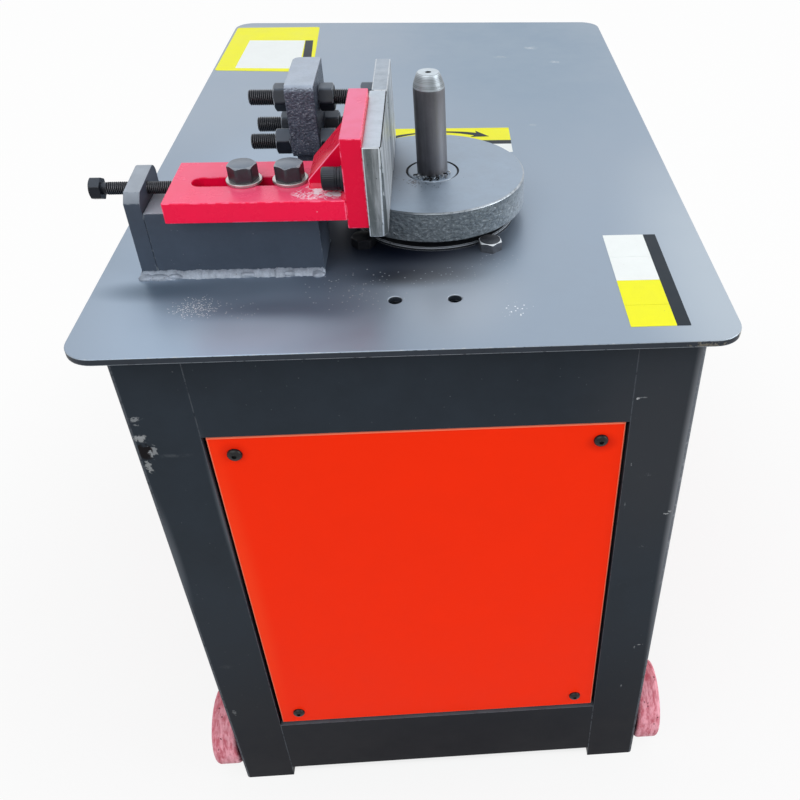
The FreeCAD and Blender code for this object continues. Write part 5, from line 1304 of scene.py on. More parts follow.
def rubbed_and_lit_cones(piece: Piece, axis: Axis) -> Piece:
    """Puts in the edge mask the cones of bolt heads and nuts, for rubbing and painted highlights: faces that
    lean against their axis.

    Args:
        piece: The piece.
        axis: Direction of the bolts or nuts.

    Returns:
        The piece.
    """
    lean = np.abs(faces_of(piece)[1][:, "xyz".index(axis.value)])
    steepest, flattest = 0.3, 0.97
    mask = ((lean > steepest) & (lean < flattest)).astype(np.float32)
    piece.data.attributes["edge"].data.foreach_set("value", mask)
    return piece


def added(piece: Piece, finish: Finish, body: str) -> Piece:
    """Dresses a piece that no solid stands for, such as a weld or a label.

    Args:
        piece: The new piece, in place.
        finish: Its finish.
        body: Body it rides on.

    Returns:
        The piece.
    """
    finish.on(piece)
    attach(piece, body)
    return piece


# Sub-assemblies


class SubAssembly:
    """Pieces that are built and reported together."""

    def make(self) -> None:
        """Makes the pieces; each sub-assembly has its own."""
        raise NotImplementedError

    def build(self) -> list[str]:
        """Makes the pieces and returns the names of the new ones."""
        before = set(bpy.data.objects.keys())
        self.make()
        return sorted(set(bpy.data.objects.keys()) - before)


@dataclass
class Table(SubAssembly):
    """The table plate with the labels stuck on it."""

    corner: float = 0.9
    top: float = 750.0
    label_thickness: float = 0.25
    label_lift: float = 0.02

    def under(self, layer: int) -> float:
        """Height of the underside of a field in that layer."""
        return self.top + self.label_lift + layer * self.label_thickness

    def label(
        self, name: str, finish: Finish, corners: Sequence[Pair], layer: int = 0, rounding: float = 0.5
    ) -> None:
        """Sticks one plain field on the table.

        Args:
            name: Name of the piece.
            finish: Its finish.
            corners: (x, y) in millimetres, in order round it.
            layer: 0 on the table, 1 on another field.
            rounding: Radius of its corners.
        """
        low = self.under(layer)
        shell = patch(corners, low, low + self.label_thickness, rounding)
        added(shell.piece(name), finish, "machine_frame")

    def strip(self, name: str, finish: Finish, x: tuple, y: tuple, layer: int = 0) -> None:
        """Sticks one square field on the table."""
        self.label(name, finish, [(x[0], y[0]), (x[1], y[0]), (x[1], y[1]), (x[0], y[1])], layer)

    def arrow(self) -> Shell:
        """The plain arrow that shows which way the disc turns, bent as a flat parabola.

        Its middle line is y = 4 - 0.0042 (x - 30)^2, and its width lies square to that line. The
        shaft is narrowest near its middle; the last two stations are the head.
        """
        bend, crown_x, crown_y = 0.0042, 30.0, 4.0
        x = np.concatenate([np.linspace(-29, 74, 18), [71.0, 91.0]])
        half = np.concatenate([np.abs(np.linspace(-2.6, 3.4, 18)) + 0.5, [9.5, 0.0]])
        middle = crown_y - bend * (x - crown_x) ** 2
        lean = half * 2 * bend * (x - crown_x)
        upper = np.stack([x + lean, middle + half], axis=1)
        lower = np.stack([x - lean, middle - half], axis=1)[::-1][1:]
        low = self.under(1)
        return Shell.slab(np.concatenate([upper, lower]), low, low + self.label_thickness)

    def make(self) -> None:
        """Makes the plate and sticks its labels on."""
        plate = stand_in(softened("table_plate", self.corner, 3), Finishes.table, "table_plate")
        # Faces that don't look up keep the dark paint, without the painted sheen given to the top
        second_finish(plate, Finishes.table_edge, faces_of(plate)[1][:, 2] < 0.5)
        self.label("rear_label", Finishes.yellow, [(-297, 241), (-155, 232), (-164.5, 446), (-296, 443)],
                   rounding=5.0)
        self.label("rear_label_field", Finishes.white,
                   [(-269, 250), (-176, 246), (-181, 376), (-267, 377)], 1)
        self.label("rear_label_block", Finishes.ink, [(-174, 262), (-161, 261), (-168, 376), (-180, 376)], 1)
        self.strip("arrow_label", Finishes.yellow, (-31, 118), (-23, 16))
        added(self.arrow().piece("turn_arrow"), Finishes.ink, "machine_frame")
        self.strip("arrow_label_band", Finishes.ink, (-31, 118), (-34, -24))
        self.strip("arrow_label_foot", Finishes.white, (-31, 118), (-60, -35))
        squares = [(-320.3, -275, Finishes.white), (-365.3, -320.7, Finishes.white),
                   (-409.3, -365.7, Finishes.yellow), (-445, -409.7, Finishes.yellow)]
        for k, (y0, y1, finish) in enumerate(squares):
            self.strip(f"side_label_{k + 1}", finish, (197, 239.8), (y0, y1))
        self.strip("side_label_edge", Finishes.ink, (240, 253), (-445, -275))


@dataclass
class Cabinet(SubAssembly):
    """The sheet cabinet: posts, rails, panels and their screws."""

    sheet_corner: float = 0.5
    head_radius: float = 7.4
    head_height: float = 4.5
    shank_radius: float = 3.0
    reach: float = 13.0
    socket_radius: float = 2.4
    socket_depth: float = 2.2
    head_rim: float = 0.9
    half_width: float = 270.7
    half_depth: float = 440.7
    side_spots: tuple = tuple((s * 336.2, z) for s in (-1, 1) for z in (152.4, 380.95, 609.5))
    front_spots: tuple = tuple((s * 181.2, z) for s in (-1, 1) for z in (152.4, 609.5))

    def screw(self, at: Pair, face: float, outward: int, axis: Axis) -> Shell:
        """A domed screw: head radius falls as a quarter ellipse towards its top, with a socket.

        Args:
            at: Place in the face.
            face: Where the face lies along the axis.
            outward: Which way the face looks, 1 or -1.
            axis: Direction of the screw.

        Returns:
            Its shell.
        """
        arc = np.linspace(0, math.pi / 2, 7)[:-1]
        bottom = self.head_height - self.socket_depth
        line = [(0, -self.reach), (self.shank_radius, -self.reach), (self.shank_radius, 0),
                (self.head_radius, 0)]
        line += [(self.head_radius * math.cos(a) ** 0.8,
                  self.head_rim + (self.head_height - self.head_rim) * math.sin(a)) for a in arc]
        line += [(self.socket_radius, self.head_height), (self.socket_radius, bottom), (0, bottom - 0.4)]
        return turned([(r, face + outward * h) for r, h in line], at, axis, 32)

    def make(self) -> None:
        """Makes the cabinet and its screws."""
        posts = [f"post_{a}_{b}" for a in ("front", "rear") for b in ("left", "right")]
        rails = ["top_rail_front", "top_rail_rear", "bottom_rail_front", "bottom_rail_rear",
                 "top_side_rails", "bottom_side_rails", "axle_plates"]
        for node in posts + rails:
            stand_in(softened(node, self.sheet_corner, 2, bends=0.7), Finishes.cabinet, node)
        for node in ("front_panel", "rear_panel", "left_panel", "right_panel"):
            stand_in(softened(node, 0.4, 2, bends=0.8), Finishes.panel, node)
        screws = []
        for side in (-1, 1):
            screws += [self.screw(spot, side * self.half_width, side, Axis.X) for spot in self.side_spots]
            screws += [self.screw(spot, side * self.half_depth, side, Axis.Y) for spot in self.front_spots]
        stand_in(Shell.join(screws).piece("panel_screw_set"), Finishes.screw, "panel_screws")
        for node, finish in {"panel_strips": Finishes.cabinet, "control_box": Finishes.box,
                             "cable_gland": Finishes.gland}.items():
            finish.on(frame["nodes"][node])


@dataclass
class BendingHead(SubAssembly):
    """The work disc with its centre pin, the cap under it and the bolts round it."""

    at: Pair = (20.5, -213.0)
    disc_radius: float = 97.5
    disc_low: float = 765.0
    disc_high: float = 797.5
    rim_bevel: float = 1.5
    bore: float = 26.42
    groove: float = 1.7
    pin_radius: float = 16.0
    pin_seat: float = 15.0
    pin_foot: float = 757.5
    pin_shoulder: float = 798.1
    cone_start: float = 887.0
    shoulder: float = 888.4
    pin_top: float = 901.5
    cone_radius: float = 11.1
    cone_steps: int = 18
    centre_hole: float = 3.1
    bolt_flats: float = 22.0
    bolt_head: float = 10.0
    bolt_shank: float = 7.0
    bolt_end: float = 731.0
    bolt_seat: float = 750.0
    bolt_span: Pair = (130.0, 153.0)
    bolt_turn: float = -6.0
    head_turns: tuple[float, ...] = (8.0, 40.0, 22.0, 51.0)

    def disc(self) -> Shell:
        """The disc: its side pitted as a casting by noise, up to 0.8 mm deep; top and bore true.

        The rim is chipped by the same noise, at most 0.3 mm.
        """
        low, high, r, b = self.disc_low, self.disc_high, self.disc_radius, self.rim_bevel
        side = [(r, z) for z in np.linspace(low + b, high - b, 34)]
        top = [(x, high) for x in np.linspace(r - b, self.bore + self.groove, 12)]
        line = [(self.bore, low), (r - b, low), *side, (r - 0.4 * b, high - 0.4 * b), *top,
                (self.bore, high - self.groove)]

        def cast(points: Array) -> Array:
            """How far each point of the side and the rim sinks in."""
            away = np.hypot(points[:, 0] - self.at[0] * MM, points[:, 1] - self.at[1] * MM)
            rough = noise(points, 3.0 * MM, 3) * 0.7 + noise(points, 2.0 * MM, 4) * 0.3
            rough += noise(points, 15.0 * MM, 5) * 0.2
            depth = np.where(points[:, 2] < (high - b - 0.5) * MM, 0.8 * MM, 0.3 * MM)
            return np.where(away > (r - b - 0.1) * MM, -depth * (0.5 + 0.5 * np.clip(rough, -1, 1)), 0.0)

        return turned(line, self.at, Axis.Z, 600, cast)

    def pin(self) -> tuple[Shell, Shell]:
        """The pin in two skins that meet at the cone's foot: the plain part and the turned cone.

        The cone's radius steps in and out by 0.09 mm: the grooves that the lathe left.
        """
        r, top, groove = self.pin_radius, self.pin_top, 0.09
        body = [(0, self.pin_foot), (self.pin_seat, self.pin_foot), (self.pin_seat, self.pin_shoulder),
                (r - 0.4, self.pin_shoulder), (r, self.pin_shoulder + 0.4)]
        body += [(r, z) for z in np.linspace(self.pin_shoulder + 2, self.cone_start - 0.5, 30)]
        body += [(r - 0.12, self.cone_start), (0, self.cone_start)]
        cone = [(0, self.cone_start), (r - 0.12, self.cone_start), (r - 0.25, self.shoulder)]
        cone += [(r - 0.34 + (self.cone_radius - r + 0.25) * t**1.25 + groove * (-1) ** k,
                  self.shoulder + (top - self.shoulder) * t)
                 for k, t in enumerate(np.linspace(0.05, 0.96, self.cone_steps))]
        cone += [(self.cone_radius - 0.5, top), (self.centre_hole + 0.4, top), (self.centre_hole, top - 0.4),
                 (0, top - 6.0)]
        return turned(body, self.at, Axis.Z, 96), turned(cone, self.at, Axis.Z, 96)

    def chips(self) -> list[Shell]:
        """Curls of swarf at the pin's foot: a thin strip along a spiral, r = start + rise times turn.

        Each row gives the direction from the pin in degrees, the distance from its axis, and the
        curl's size and its height. Every second curl is dark.
        """
        floor = self.disc_high + 0.15
        thick, tall, end = 0.9, 1.3, 2.4
        shells = []
        for direction, reach, curl, rise in (
            (-120, 19.5, 3.4, 1.6), (-104, 21.0, 3.0, 1.2), (-92, 20.2, 4.0, 1.5), (-80, 23.0, 2.8, 1.1),
            (-66, 20.2, 3.4, 1.6), (-48, 19.4, 2.8, 1.3), (-140, 20.4, 2.8, 1.2), (-97, 24.6, 2.4, 0.9),
            (-30, 19.0, 2.6, 1.2), (-112, 24.0, 2.4, 0.9), (-128, 22.6, 2.6, 1.0), (-84, 19.0, 2.6, 1.6),
            (-56, 22.0, 2.4, 0.9), (-150, 21.4, 2.2, 0.9),
        ):
            turn = np.linspace(0, end, 14)
            bow = np.radians(direction + 75 * turn)
            radius = curl * (0.45 + 0.35 * turn)
            x = self.at[0] + reach * math.cos(math.radians(direction)) + radius * np.cos(bow)
            y = self.at[1] + reach * math.sin(math.radians(direction)) + radius * np.sin(bow)
            lift = rise * np.sin(turn * math.pi / end)
            ring = [(0.0, 0.0), (thick, 0.0), (thick, tall), (0.0, tall)]
            rows = [np.stack([x + a * np.cos(bow), y + a * np.sin(bow), floor + lift + c], axis=1)
                    for a, c in ring]
            strip = Shell.grid(MM * np.stack(rows, axis=1), round_v=True)
            last = len(strip.points)
            strip.faces += [[0, 1, 2, 3], [last - 4, last - 3, last - 2, last - 1]]
            shells.append(strip)
        return [Shell.join(shells[0::2]), Shell.join(shells[1::2])]

    def bolts(self) -> Shell:
        """The four bolt heads on a turned rectangle, with their shanks."""
        turn = math.radians(self.bolt_turn)
        shells = []
        corners = ((-1, -1), (1, -1), (1, 1), (-1, 1))
        for (sx, sy), head_turn in zip(corners, self.head_turns):
            u, v = sx * self.bolt_span[0] / 2, sy * self.bolt_span[1] / 2
            x = self.at[0] + u * math.cos(turn) - v * math.sin(turn)
            y = self.at[1] + u * math.sin(turn) + v * math.cos(turn)
            shells.append(hexagonal(self.bolt_flats, (x, y, self.bolt_seat), Axis.Z, self.bolt_head,
                                    head_turn, crowned=(False, True)))
            shells.append(rod(self.bolt_shank, self.bolt_end, self.bolt_seat + 0.5, (x, y), Axis.Z, 24))
        return Shell.join(shells)

    def around(self, piece: Piece) -> tuple[Array, Array, Array]:
        """Where a piece's faces lie round the disc's axis.

        Args:
            piece: The piece.

        Returns:
            Their heights in metres, distances from the axis in millimetres and normals' Z.
        """
        middle, normal = faces_of(piece)
        away = np.linalg.norm(middle[:, :2] - np.array(self.at) * MM, axis=1) / MM
        return middle[:, 2], away, normal[:, 2]

    def make(self) -> None:
        """Makes the disc, the pin and what holds them."""
        disc = stand_in(self.disc().piece("work_disc_skin", 30), Finishes.disc, "work_disc")
        rim = (self.disc_high - self.rim_bevel - 0.3) * MM
        height, away, _ = self.around(disc)
        second_finish(disc, Finishes.disc_side, height < rim)
        outer = away > self.disc_radius - self.rim_bevel - 0.2
        second_finish(disc, Finishes.disc_rim, (height > rim) & outer)
        # The groove round the bore painted as its shade
        second_finish(disc, Finishes.gap_shade_and_oil, away < self.bore + self.groove - 0.1)
        body, cone = self.pin()
        pin = stand_in(Shell.join([body, cone]).piece("centre_pin_skin", 28), Finishes.pin, "centre_pin")
        height, away, up = self.around(pin)
        turned_end = height > (self.cone_start + 0.05) * MM
        second_finish(pin, Finishes.pin_end, turned_end)
        step = 2.0 * (self.pin_top - self.shoulder) * MM / self.cone_steps
        cone_side = (height > self.shoulder * MM) & (away > self.centre_hole + 1) & (up < 0.9)
        second_finish(pin, Finishes.pin_groove, cone_side & ((height / step) % 1.0 < 0.45))
        # The centre hole painted as its shade
        second_finish(pin, Finishes.gap_shade_and_oil, turned_end & (away < self.centre_hole) & (up < 0.9))
        spindle = stand_in(softened("spindle", 0.3), Finishes.machined, "spindle")
        second_finish(spindle, Finishes.disc, self.around(spindle)[0] > (self.disc_high - 0.7) * MM)
        bright, dark = self.chips()
        added(bright.piece("swarf_curls", 50), Finishes.swarf, "spindle")
        added(dark.piece("swarf_curls_dark", 50), Finishes.gap_shade_and_oil, "spindle")
        stand_in(softened("bearing_cap", 0.45), Finishes.cap, "bearing_cap")
        bolts = rubbed_and_lit_cones(self.bolts().piece("case_bolt_set"), Axis.Z)
        stand_in(bolts, Finishes.floor_bolt, "case_bolts")
        middle = faces_of(bolts)[0]
        second_finish(bolts, Finishes.shaded_bolt, (middle[:, 0] < 0) & (middle[:, 1] < self.at[1] * MM))
        Finishes.black.on(frame["nodes"]["cover_screws"])


@dataclass
class JawBracket(SubAssembly):
    """The block and lug on the table, the slotted bracket on them, and the front jaw."""

    corner: float = 0.9
    clamp_x: Pair = (-152.5, -110.0)
    clamp_y: float = -313.5
    clamp_flats: float = 24.4
    clamp_seat: float = 839.4
    clamp_head: float = 14.5
    clamp_shank: float = 8.0
    clamp_end: float = 776.0
    clamp_turns: Pair = (12.0, 22.0)
    washer_radius: float = 16.5
    washer_low: float = 836.4
    washer_bore: float = 8.4
    screw_at: Pair = (-302.75, 826.2)
    screw_radius: float = 6.0
    screw_ends: Pair = (-285.9, -219.4)
    screw_head: Pair = (-296.2, 10.3)
    screw_flats: float = 19.0
    screw_pitch: float = 1.75
    neck_length: float = 4.0
    cap_spots: tuple[Pair, ...] = ((-341.0, 850.2), (-247.5, 830.2))
    cap_radius: float = 10.5
    cap_socket: float = 5.5
    cap_shank: float = 7.0
    cap_x: Spot = (-77.2, -63.2, -26.8)
    table_top: float = 750.0
    plate_top: float = 836.2

    def clamp_bolts(self) -> Shell:
        """The two hexagon bolts through the slot."""
        shells = []
        for x, turn in zip(self.clamp_x, self.clamp_turns):
            at = (x, self.clamp_y)
            shells.append(hexagonal(self.clamp_flats, (*at, self.clamp_seat), Axis.Z, self.clamp_head, turn,
                                    crowned=(False, True)))
            shells.append(rod(self.clamp_shank, self.clamp_end, self.clamp_seat + 0.6, at, Axis.Z))
        return Shell.join(shells)

    def washers(self) -> Shell:
        """Two plain washers with rounded rims."""
        low, high, r, b = self.washer_low, self.clamp_seat - 0.05, self.washer_radius, self.washer_bore
        line = [(b, low), (r - 0.4, low), (r, low + 0.5), (r, high - 0.45), (r - 0.5, high), (b, high)]
        return Shell.join([turned(line, (x, self.clamp_y), Axis.Z, 48) for x in self.clamp_x])

    def adjusting_screw(self) -> Shell:
        """The hexagon screw that pushes the bracket, with its thread."""
        low, length = self.screw_head
        head = hexagonal(self.screw_flats, (low, *self.screw_at), Axis.X, length, 30.0, crowned=(True, False))
        start, end = self.screw_ends
        neck_end = start + self.neck_length
        thread = threaded(self.screw_radius, self.screw_at, neck_end, end, self.screw_pitch, 0.9)
        neck = rod(self.screw_radius - 0.4, start - 1, neck_end + 1, self.screw_at, Axis.X)
        return Shell.join([head, neck, thread])

    def cap_screws(self) -> Shell:
        """The two socket screws of the front jaw: knurled heads over a lock and a plain washer.

        The knurl is 0.11 + 0.11 sin(36 a) mm deep on the head's side, a being the angle round the
        screw. From the seat on come the lock washer, 2.8 mm thick, and the plain one, 3.15 mm.
        """
        low, seat, end = self.cap_x
        r, socket, bore = self.cap_radius, self.cap_socket, self.cap_shank + 0.4
        head = [(0, low + 7.0), (socket, low + 7.0), (socket, low + 0.5), (socket + 0.5, low),
                (r - 1.1, low), (r, low + 1.1)]
        head += [(r, x) for x in np.linspace(low + 1.2, seat - 2.8, 6)]
        head += [(r, seat - 2.2), (r - 0.3, seat - 1.9), (r - 0.3, seat - 1.5), (r, seat - 1.2),
                 (r, seat - 0.3), (r - 0.4, seat), (self.cap_shank, seat), (self.cap_shank, end), (0, end)]
        lock = [(bore, 0.1), (r - 0.4, 0.1), (r, 0.4), (r, 2.6), (r - 0.4, 2.9), (bore, 2.9)]
        plain = [(bore, 3.0), (r + 0.5, 3.0), (r + 0.9, 3.3), (r + 0.9, 5.8), (r + 0.5, 6.15), (bore, 6.15)]
        shells = []
        for at in self.cap_spots:
            def knurl(points: Array, at: Pair = at) -> Array:
                """How far each point of the head's side sinks in."""
                across = points[:, 1:] / MM - np.array(at)
                angle = np.arctan2(across[:, 1], across[:, 0])
                side = (points[:, 0] > (low + 1.0) * MM) & (points[:, 0] < (seat - 2.6) * MM)
                side &= np.linalg.norm(across, axis=1) > r - 0.2
                return np.where(side, -0.22 * MM * (0.5 + 0.5 * np.sin(36 * angle)), 0.0)

            shells.append(turned(head, at, Axis.X, 144, knurl))
            shells += [turned([(q, seat + x) for q, x in ring], at, Axis.X, 64) for ring in (lock, plain)]
        return Shell.join(shells)

    def welds(self) -> Shell:
        """The beads at the foot of the block and the lug, with drops of weld along the front one.

        The rows of a lump are its middle along X and Y, its half length, half width and height.
        """
        z = self.table_top
        beads = [
            straight_bead((-260.4, -336, z), (-86.0, -336, z), (0, -1), 7.2, 6.0, 11),
            straight_bead((-244.4, -276, z), (-86.0, -276, z), (0, 1), 7.2, 6.0, 12),
            straight_bead((-259.4, -336, z), (-259.4, -269.5, z), (-1, 0), 4.0, 5.0, 13),
        ]
        lumps = [self.lump(*size) for size in (
            (-255, -340, 8, 5.5, 4.2), (-243, -340.5, 11, 5, 4.6), (-228.5, -340, 8, 4, 4.4),
            (-92.5, -340.5, 6.5, 5, 4.4), (-160, -339.5, 9, 3.6, 4.6), (-120, -339.5, 8, 3.4, 4.6),
        )]
        return Shell.join(beads + lumps)

    def lump(self, x: float, y: float, long: float, wide: float, high: float) -> Shell:
        """A drop of weld: a half ellipsoid of these half sizes on the table.

        Args:
            x: Its middle.
            y: Its middle.
            long: Half its length along X.
            wide: Half its width along Y.
            high: Its height.

        Returns:
            Its shell.
        """
        line = [(0.0, -0.1)] + [(math.cos(a), math.sin(a)) for a in np.linspace(-0.1, math.pi / 2, 9)[:-1]]
        ball = turned(line + [(0.0, 1.0)], (0.0, 0.0), Axis.Z, 32)
        rough = 1 + 0.10 * noise(ball.points + x * MM, 0.6 * MM, 15)[:, None]
        points = ball.points * rough * np.array([long, wide, high]) + MM * np.array([x, y, self.table_top])
        return Shell(points, ball.faces)

    def red_welds(self) -> Shell:
        """The painted fillets: the jaw plate's foot on both sides of the gusset, and the gusset's."""
        z = self.plate_top
        return Shell.join([
            straight_bead((-57, -356, z), (-57, -328.5, z), (-1, 0), 4.5, 4.5, 21),
            straight_bead((-57, -273, z), (-57, -270.5, z), (-1, 0), 2.5, 3.5, 22),
            straight_bead((-92, -327.5, z), (-59, -327.5, z), (0, -1), 3.8, 3.8, 23),
        ])

    def make(self) -> None:
        """Makes the bracket, its jaw and its screws."""
        for node, finish, width in (
            ("base_block", Finishes.block, 0.9), ("screw_lug", Finishes.block, 0.7),
            ("slide_plate", Finishes.bracket, 1.0), ("jaw_plate", Finishes.upright, 1.0),
            ("gusset", Finishes.gusset, 0.8), ("front_jaw", Finishes.jaw, 1.0),
        ):
            piece = stand_in(softened(node, width), finish, node)
            if node == "front_jaw":
                x, y, z = faces_of(piece)[1].T
                second_finish(piece, Finishes.worked, x > 0.9)
                # Painted shadow lines on the front jaw's rounded top edges towards the right and the back
                second_finish(piece, Finishes.gap_shade_and_oil, (np.maximum(x, y) > 0.3) & (z > 0.3))
        bolts = rubbed_and_lit_cones(self.clamp_bolts().piece("clamp_bolt_set"), Axis.Z)
        stand_in(bolts, Finishes.black, "clamp_bolts")
        stand_in(self.washers().piece("clamp_washer_set"), Finishes.plated, "clamp_washers")
        stand_in(self.cap_screws().piece("jaw_screw_set", 30), Finishes.oiled, "jaw_screws")
        screw = self.adjusting_screw().piece("adjusting_screw_skin")
        stand_in(screw, Finishes.oiled, "adjusting_screw")
        crests(screw, [self.screw_at], self.screw_radius, self.screw_ends[0] + self.neck_length)
        added(self.welds().piece("block_weld", 60), Finishes.weld, "machine_frame")
        added(self.red_welds().piece("bracket_weld", 60), Finishes.red_weld, "bracket")


@dataclass
class RearJaw(SubAssembly):
    """The rear jaw on its three studs, with the cast abutment that holds them."""

    stud_spots: tuple = ((-165.5, 860.0), (-188.5, 822.0), (-142.5, 822.0))
    stud_radius: float = 8.0
    stud_ends: Pair = (-166.5, -25.0)
    stud_pitch: float = 2.0
    flats: float = 25.0
    nut_length: float = 15.8
    jam_length: float = 15.0
    nut_x: Pair = (-140.5, -94.5)
    jam_x: float = -51.0
    turns: tuple[float, ...] = (7.0, 40.0, 14.0)
    voxel: float = 0.90
    nut_seat: float = 13.5
    foot: float = 751.5
    fade: float = 6.0

    def studs(self) -> Shell:
        """The three threaded studs."""
        return Shell.join([
            threaded(self.stud_radius, at, *self.stud_ends, self.stud_pitch, 1.2) for at in self.stud_spots
        ])

    def nuts(self, places: Sequence[float], length: float, turns: Sequence[float]) -> Shell:
        """A nut at each place along each stud."""
        return Shell.join([
            hexagonal(self.flats, (x, *at), Axis.X, length, turn, bore=self.stud_radius + 0.05)
            for turn, at in zip(turns, self.stud_spots) for x in places
        ])

    def abutment(self) -> Piece:
        """The casting: its solid remeshed, then each point moved in along its normal by noise.

        The noise is folded, so it runs in wrinkles. It goes up to 1.2 mm deep, is deepest on the
        front face, and fades out near the stud holes and the foot.
        """
        name = "abutment_skin"
        casting = copied("abutment")
        voxels = casting.modifiers.new("voxels", "REMESH")
        voxels.mode, voxels.voxel_size = "VOXEL", self.voxel * MM
        relax = casting.modifiers.new("relax", "SMOOTH")
        relax.factor, relax.iterations = 0.5, 3
        done = modified(casting, name)
        points = read(done.vertices, "co").astype(float)
        normals = read(done.vertices, "normal").astype(float)
        spots = np.array(self.stud_spots) * MM
        off = np.linalg.norm(points[:, None, 1:] - spots[None], axis=2).min(axis=1)
        calm = np.clip((off / MM - self.nut_seat) / self.fade, 0, 1)
        calm *= np.clip((points[:, 2] / MM - self.foot) / (self.fade / 2), 0, 1)
        flat = points * np.array([1.0, 1.0, 1.5])
        folds = 1 - 2 * np.abs(noise(flat, 2.8 * MM, 7))
        wave = 0.15 * noise(points, 13.0 * MM, 6) + 0.65 * folds + 0.5 * noise(flat, 2.2 * MM, 8)
        rough = np.clip(-normals[:, 1], 0, 1) + 0.35 * np.abs(normals[:, 0])
        depth = (0.12 + 0.8 * rough) * (0.5 - 0.5 * np.clip(wave, -1, 1))
        points -= normals * (depth * calm * MM)[:, None]
        done.vertices.foreach_set("co", points.astype(np.float32).ravel())
        done.update()
        done.materials.clear()
        return link(done, name, 60)

    def foot_weld(self) -> Shell:
        """The bead round the abutment's foot."""
        x0, x1, y0, y1 = -148.5, -90.7, -203.5, -112.5
        line = [(x, y, 750) for x, y in ((x0, y0), (x1, y0), (x1, y1), (x0, y1))]
        return bead(line, [(-1, -1), (1, -1), (1, 1), (-1, 1)], 5.0, 5.5, 31, closed=True)

    def make(self) -> None:
        """Makes the rear jaw, its studs and the casting."""
        jaw = stand_in(softened("rear_jaw", 1.0), Finishes.rear_jaw, "rear_jaw")
        second_finish(jaw, Finishes.worked, faces_of(jaw)[1][:, 0] > 0.9)
        studs = stand_in(self.studs().piece("jaw_stud_set", 50), Finishes.oiled, "jaw_studs")
        crests(studs, self.stud_spots, self.stud_radius, self.stud_ends[0])
        nuts = self.nuts(self.nut_x, self.nut_length, self.turns).piece("stud_nut_set")
        stand_in(rubbed_and_lit_cones(nuts, Axis.X), Finishes.nut, "stud_nuts")
        jams = self.nuts((self.jam_x,), self.jam_length, self.turns[::-1]).piece("jam_nut_set")
        stand_in(rubbed_and_lit_cones(jams, Axis.X), Finishes.nut, "jam_nuts")
        abutment = stand_in(self.abutment(), Finishes.cast, "abutment")
        second_finish(abutment, Finishes.cast_top, faces_of(abutment)[1][:, 2] > 0.75)
        added(self.foot_weld().piece("abutment_weld", 60), Finishes.hidden_weld, "machine_frame")


@dataclass
class Drive:
    """The gears, belts and motor inside the cabinet: their solids with finishes of their own."""

    finishes: tuple = (
        (Finishes.machined, ("main_gear", "mid_gear", "mid_shaft", "input_shaft", "motor_shaft")),
        (Finishes.plated, ("bearings", "motor_bolts")),
        (Finishes.cast, ("gear_case", "case_cover", "input_pulley", "motor_pulley")),
        (Finishes.rubber, ("v_belts",)),
        (Finishes.motor, ("motor_housing",)),
        (Finishes.cabinet, ("motor_hangers", "motor_plate")),
    )

    def build(self) -> list[str]:
        """Gives each solid of the drive its finish and returns their names."""
        for finish, nodes in self.finishes:
            for node in nodes:
                finish.on(frame["nodes"][node])
        return sorted(node for _, nodes in self.finishes for node in nodes)


@dataclass
class Wheels(SubAssembly):
    """The two front wheels with their axle, washers and split pins."""

    at: Pair = (-390.0, 55.0)
    radius: float = 53.5
    outer: float = 308.0
    width: float = 32.0
    shoulder: float = 5.0
    rim: float = 43.5
    web: float = 11.0
    hub: float = 20.0
    hub_outer: float = 300.0
    hub_inner: float = 276.0
    bore: float = 10.05

    def wheel(self, side: int) -> Shell:
        """A turned wheel, its tread worn uneven by noise up to 0.4 mm deep.

        Args:
            side: -1 for the left wheel, 1 for the right one.

        Returns:
            Its shell.
        """
        inner, middle = self.outer - self.width, self.outer - self.width / 2
        arc = np.linspace(0, math.pi / 2, 6)
        s, r, w, bevel, draft = self.shoulder, self.radius, self.web / 2, 0.6, 1.5
        line = [(self.bore, self.hub_outer), (self.hub - bevel, self.hub_outer),
                (self.hub, self.hub_outer - bevel), (self.hub, middle + w), (self.rim, middle + w),
                (self.rim + draft, self.outer)]
        line += [(r - s + s * math.sin(a), self.outer - s + s * math.cos(a)) for a in arc]
        line += [(r, x) for x in np.linspace(self.outer - s - 1, inner + s + 1, 9)]
        line += [(r - s + s * math.cos(a), inner + s - s * math.sin(a)) for a in arc]
        line += [(self.rim + draft, inner), (self.rim, middle - w), (self.hub, middle - w),
                 (self.hub, self.hub_inner), (self.bore, self.hub_inner)]

        def worn(points: Array) -> Array:
            """How far each point of the tread sinks in."""
            away = np.hypot(points[:, 1] - self.at[0] * MM, points[:, 2] - self.at[1] * MM)
            rough = noise(points, 6.0 * MM, 12) + 0.6 * noise(points, 2.2 * MM, 13)
            return np.where(away > (r - s) * MM, -0.22 * MM * (1 + rough / 1.6), 0.0)

        return turned([(q, side * x) for q, x in line], self.at, Axis.X, 128, worn)

    def make(self) -> None:
        """Makes the wheels, their axle and its pins."""
        for side, node in ((-1, "left_wheel"), (1, "right_wheel")):
            stand_in(self.wheel(side).piece(f"{node}_skin"), Finishes.wheel, node)
        stand_in(softened("wheel_axle", 0.4), Finishes.plated, "wheel_axle")
        stand_in(softened("axle_pins", 0.2), Finishes.plated, "axle_pins")


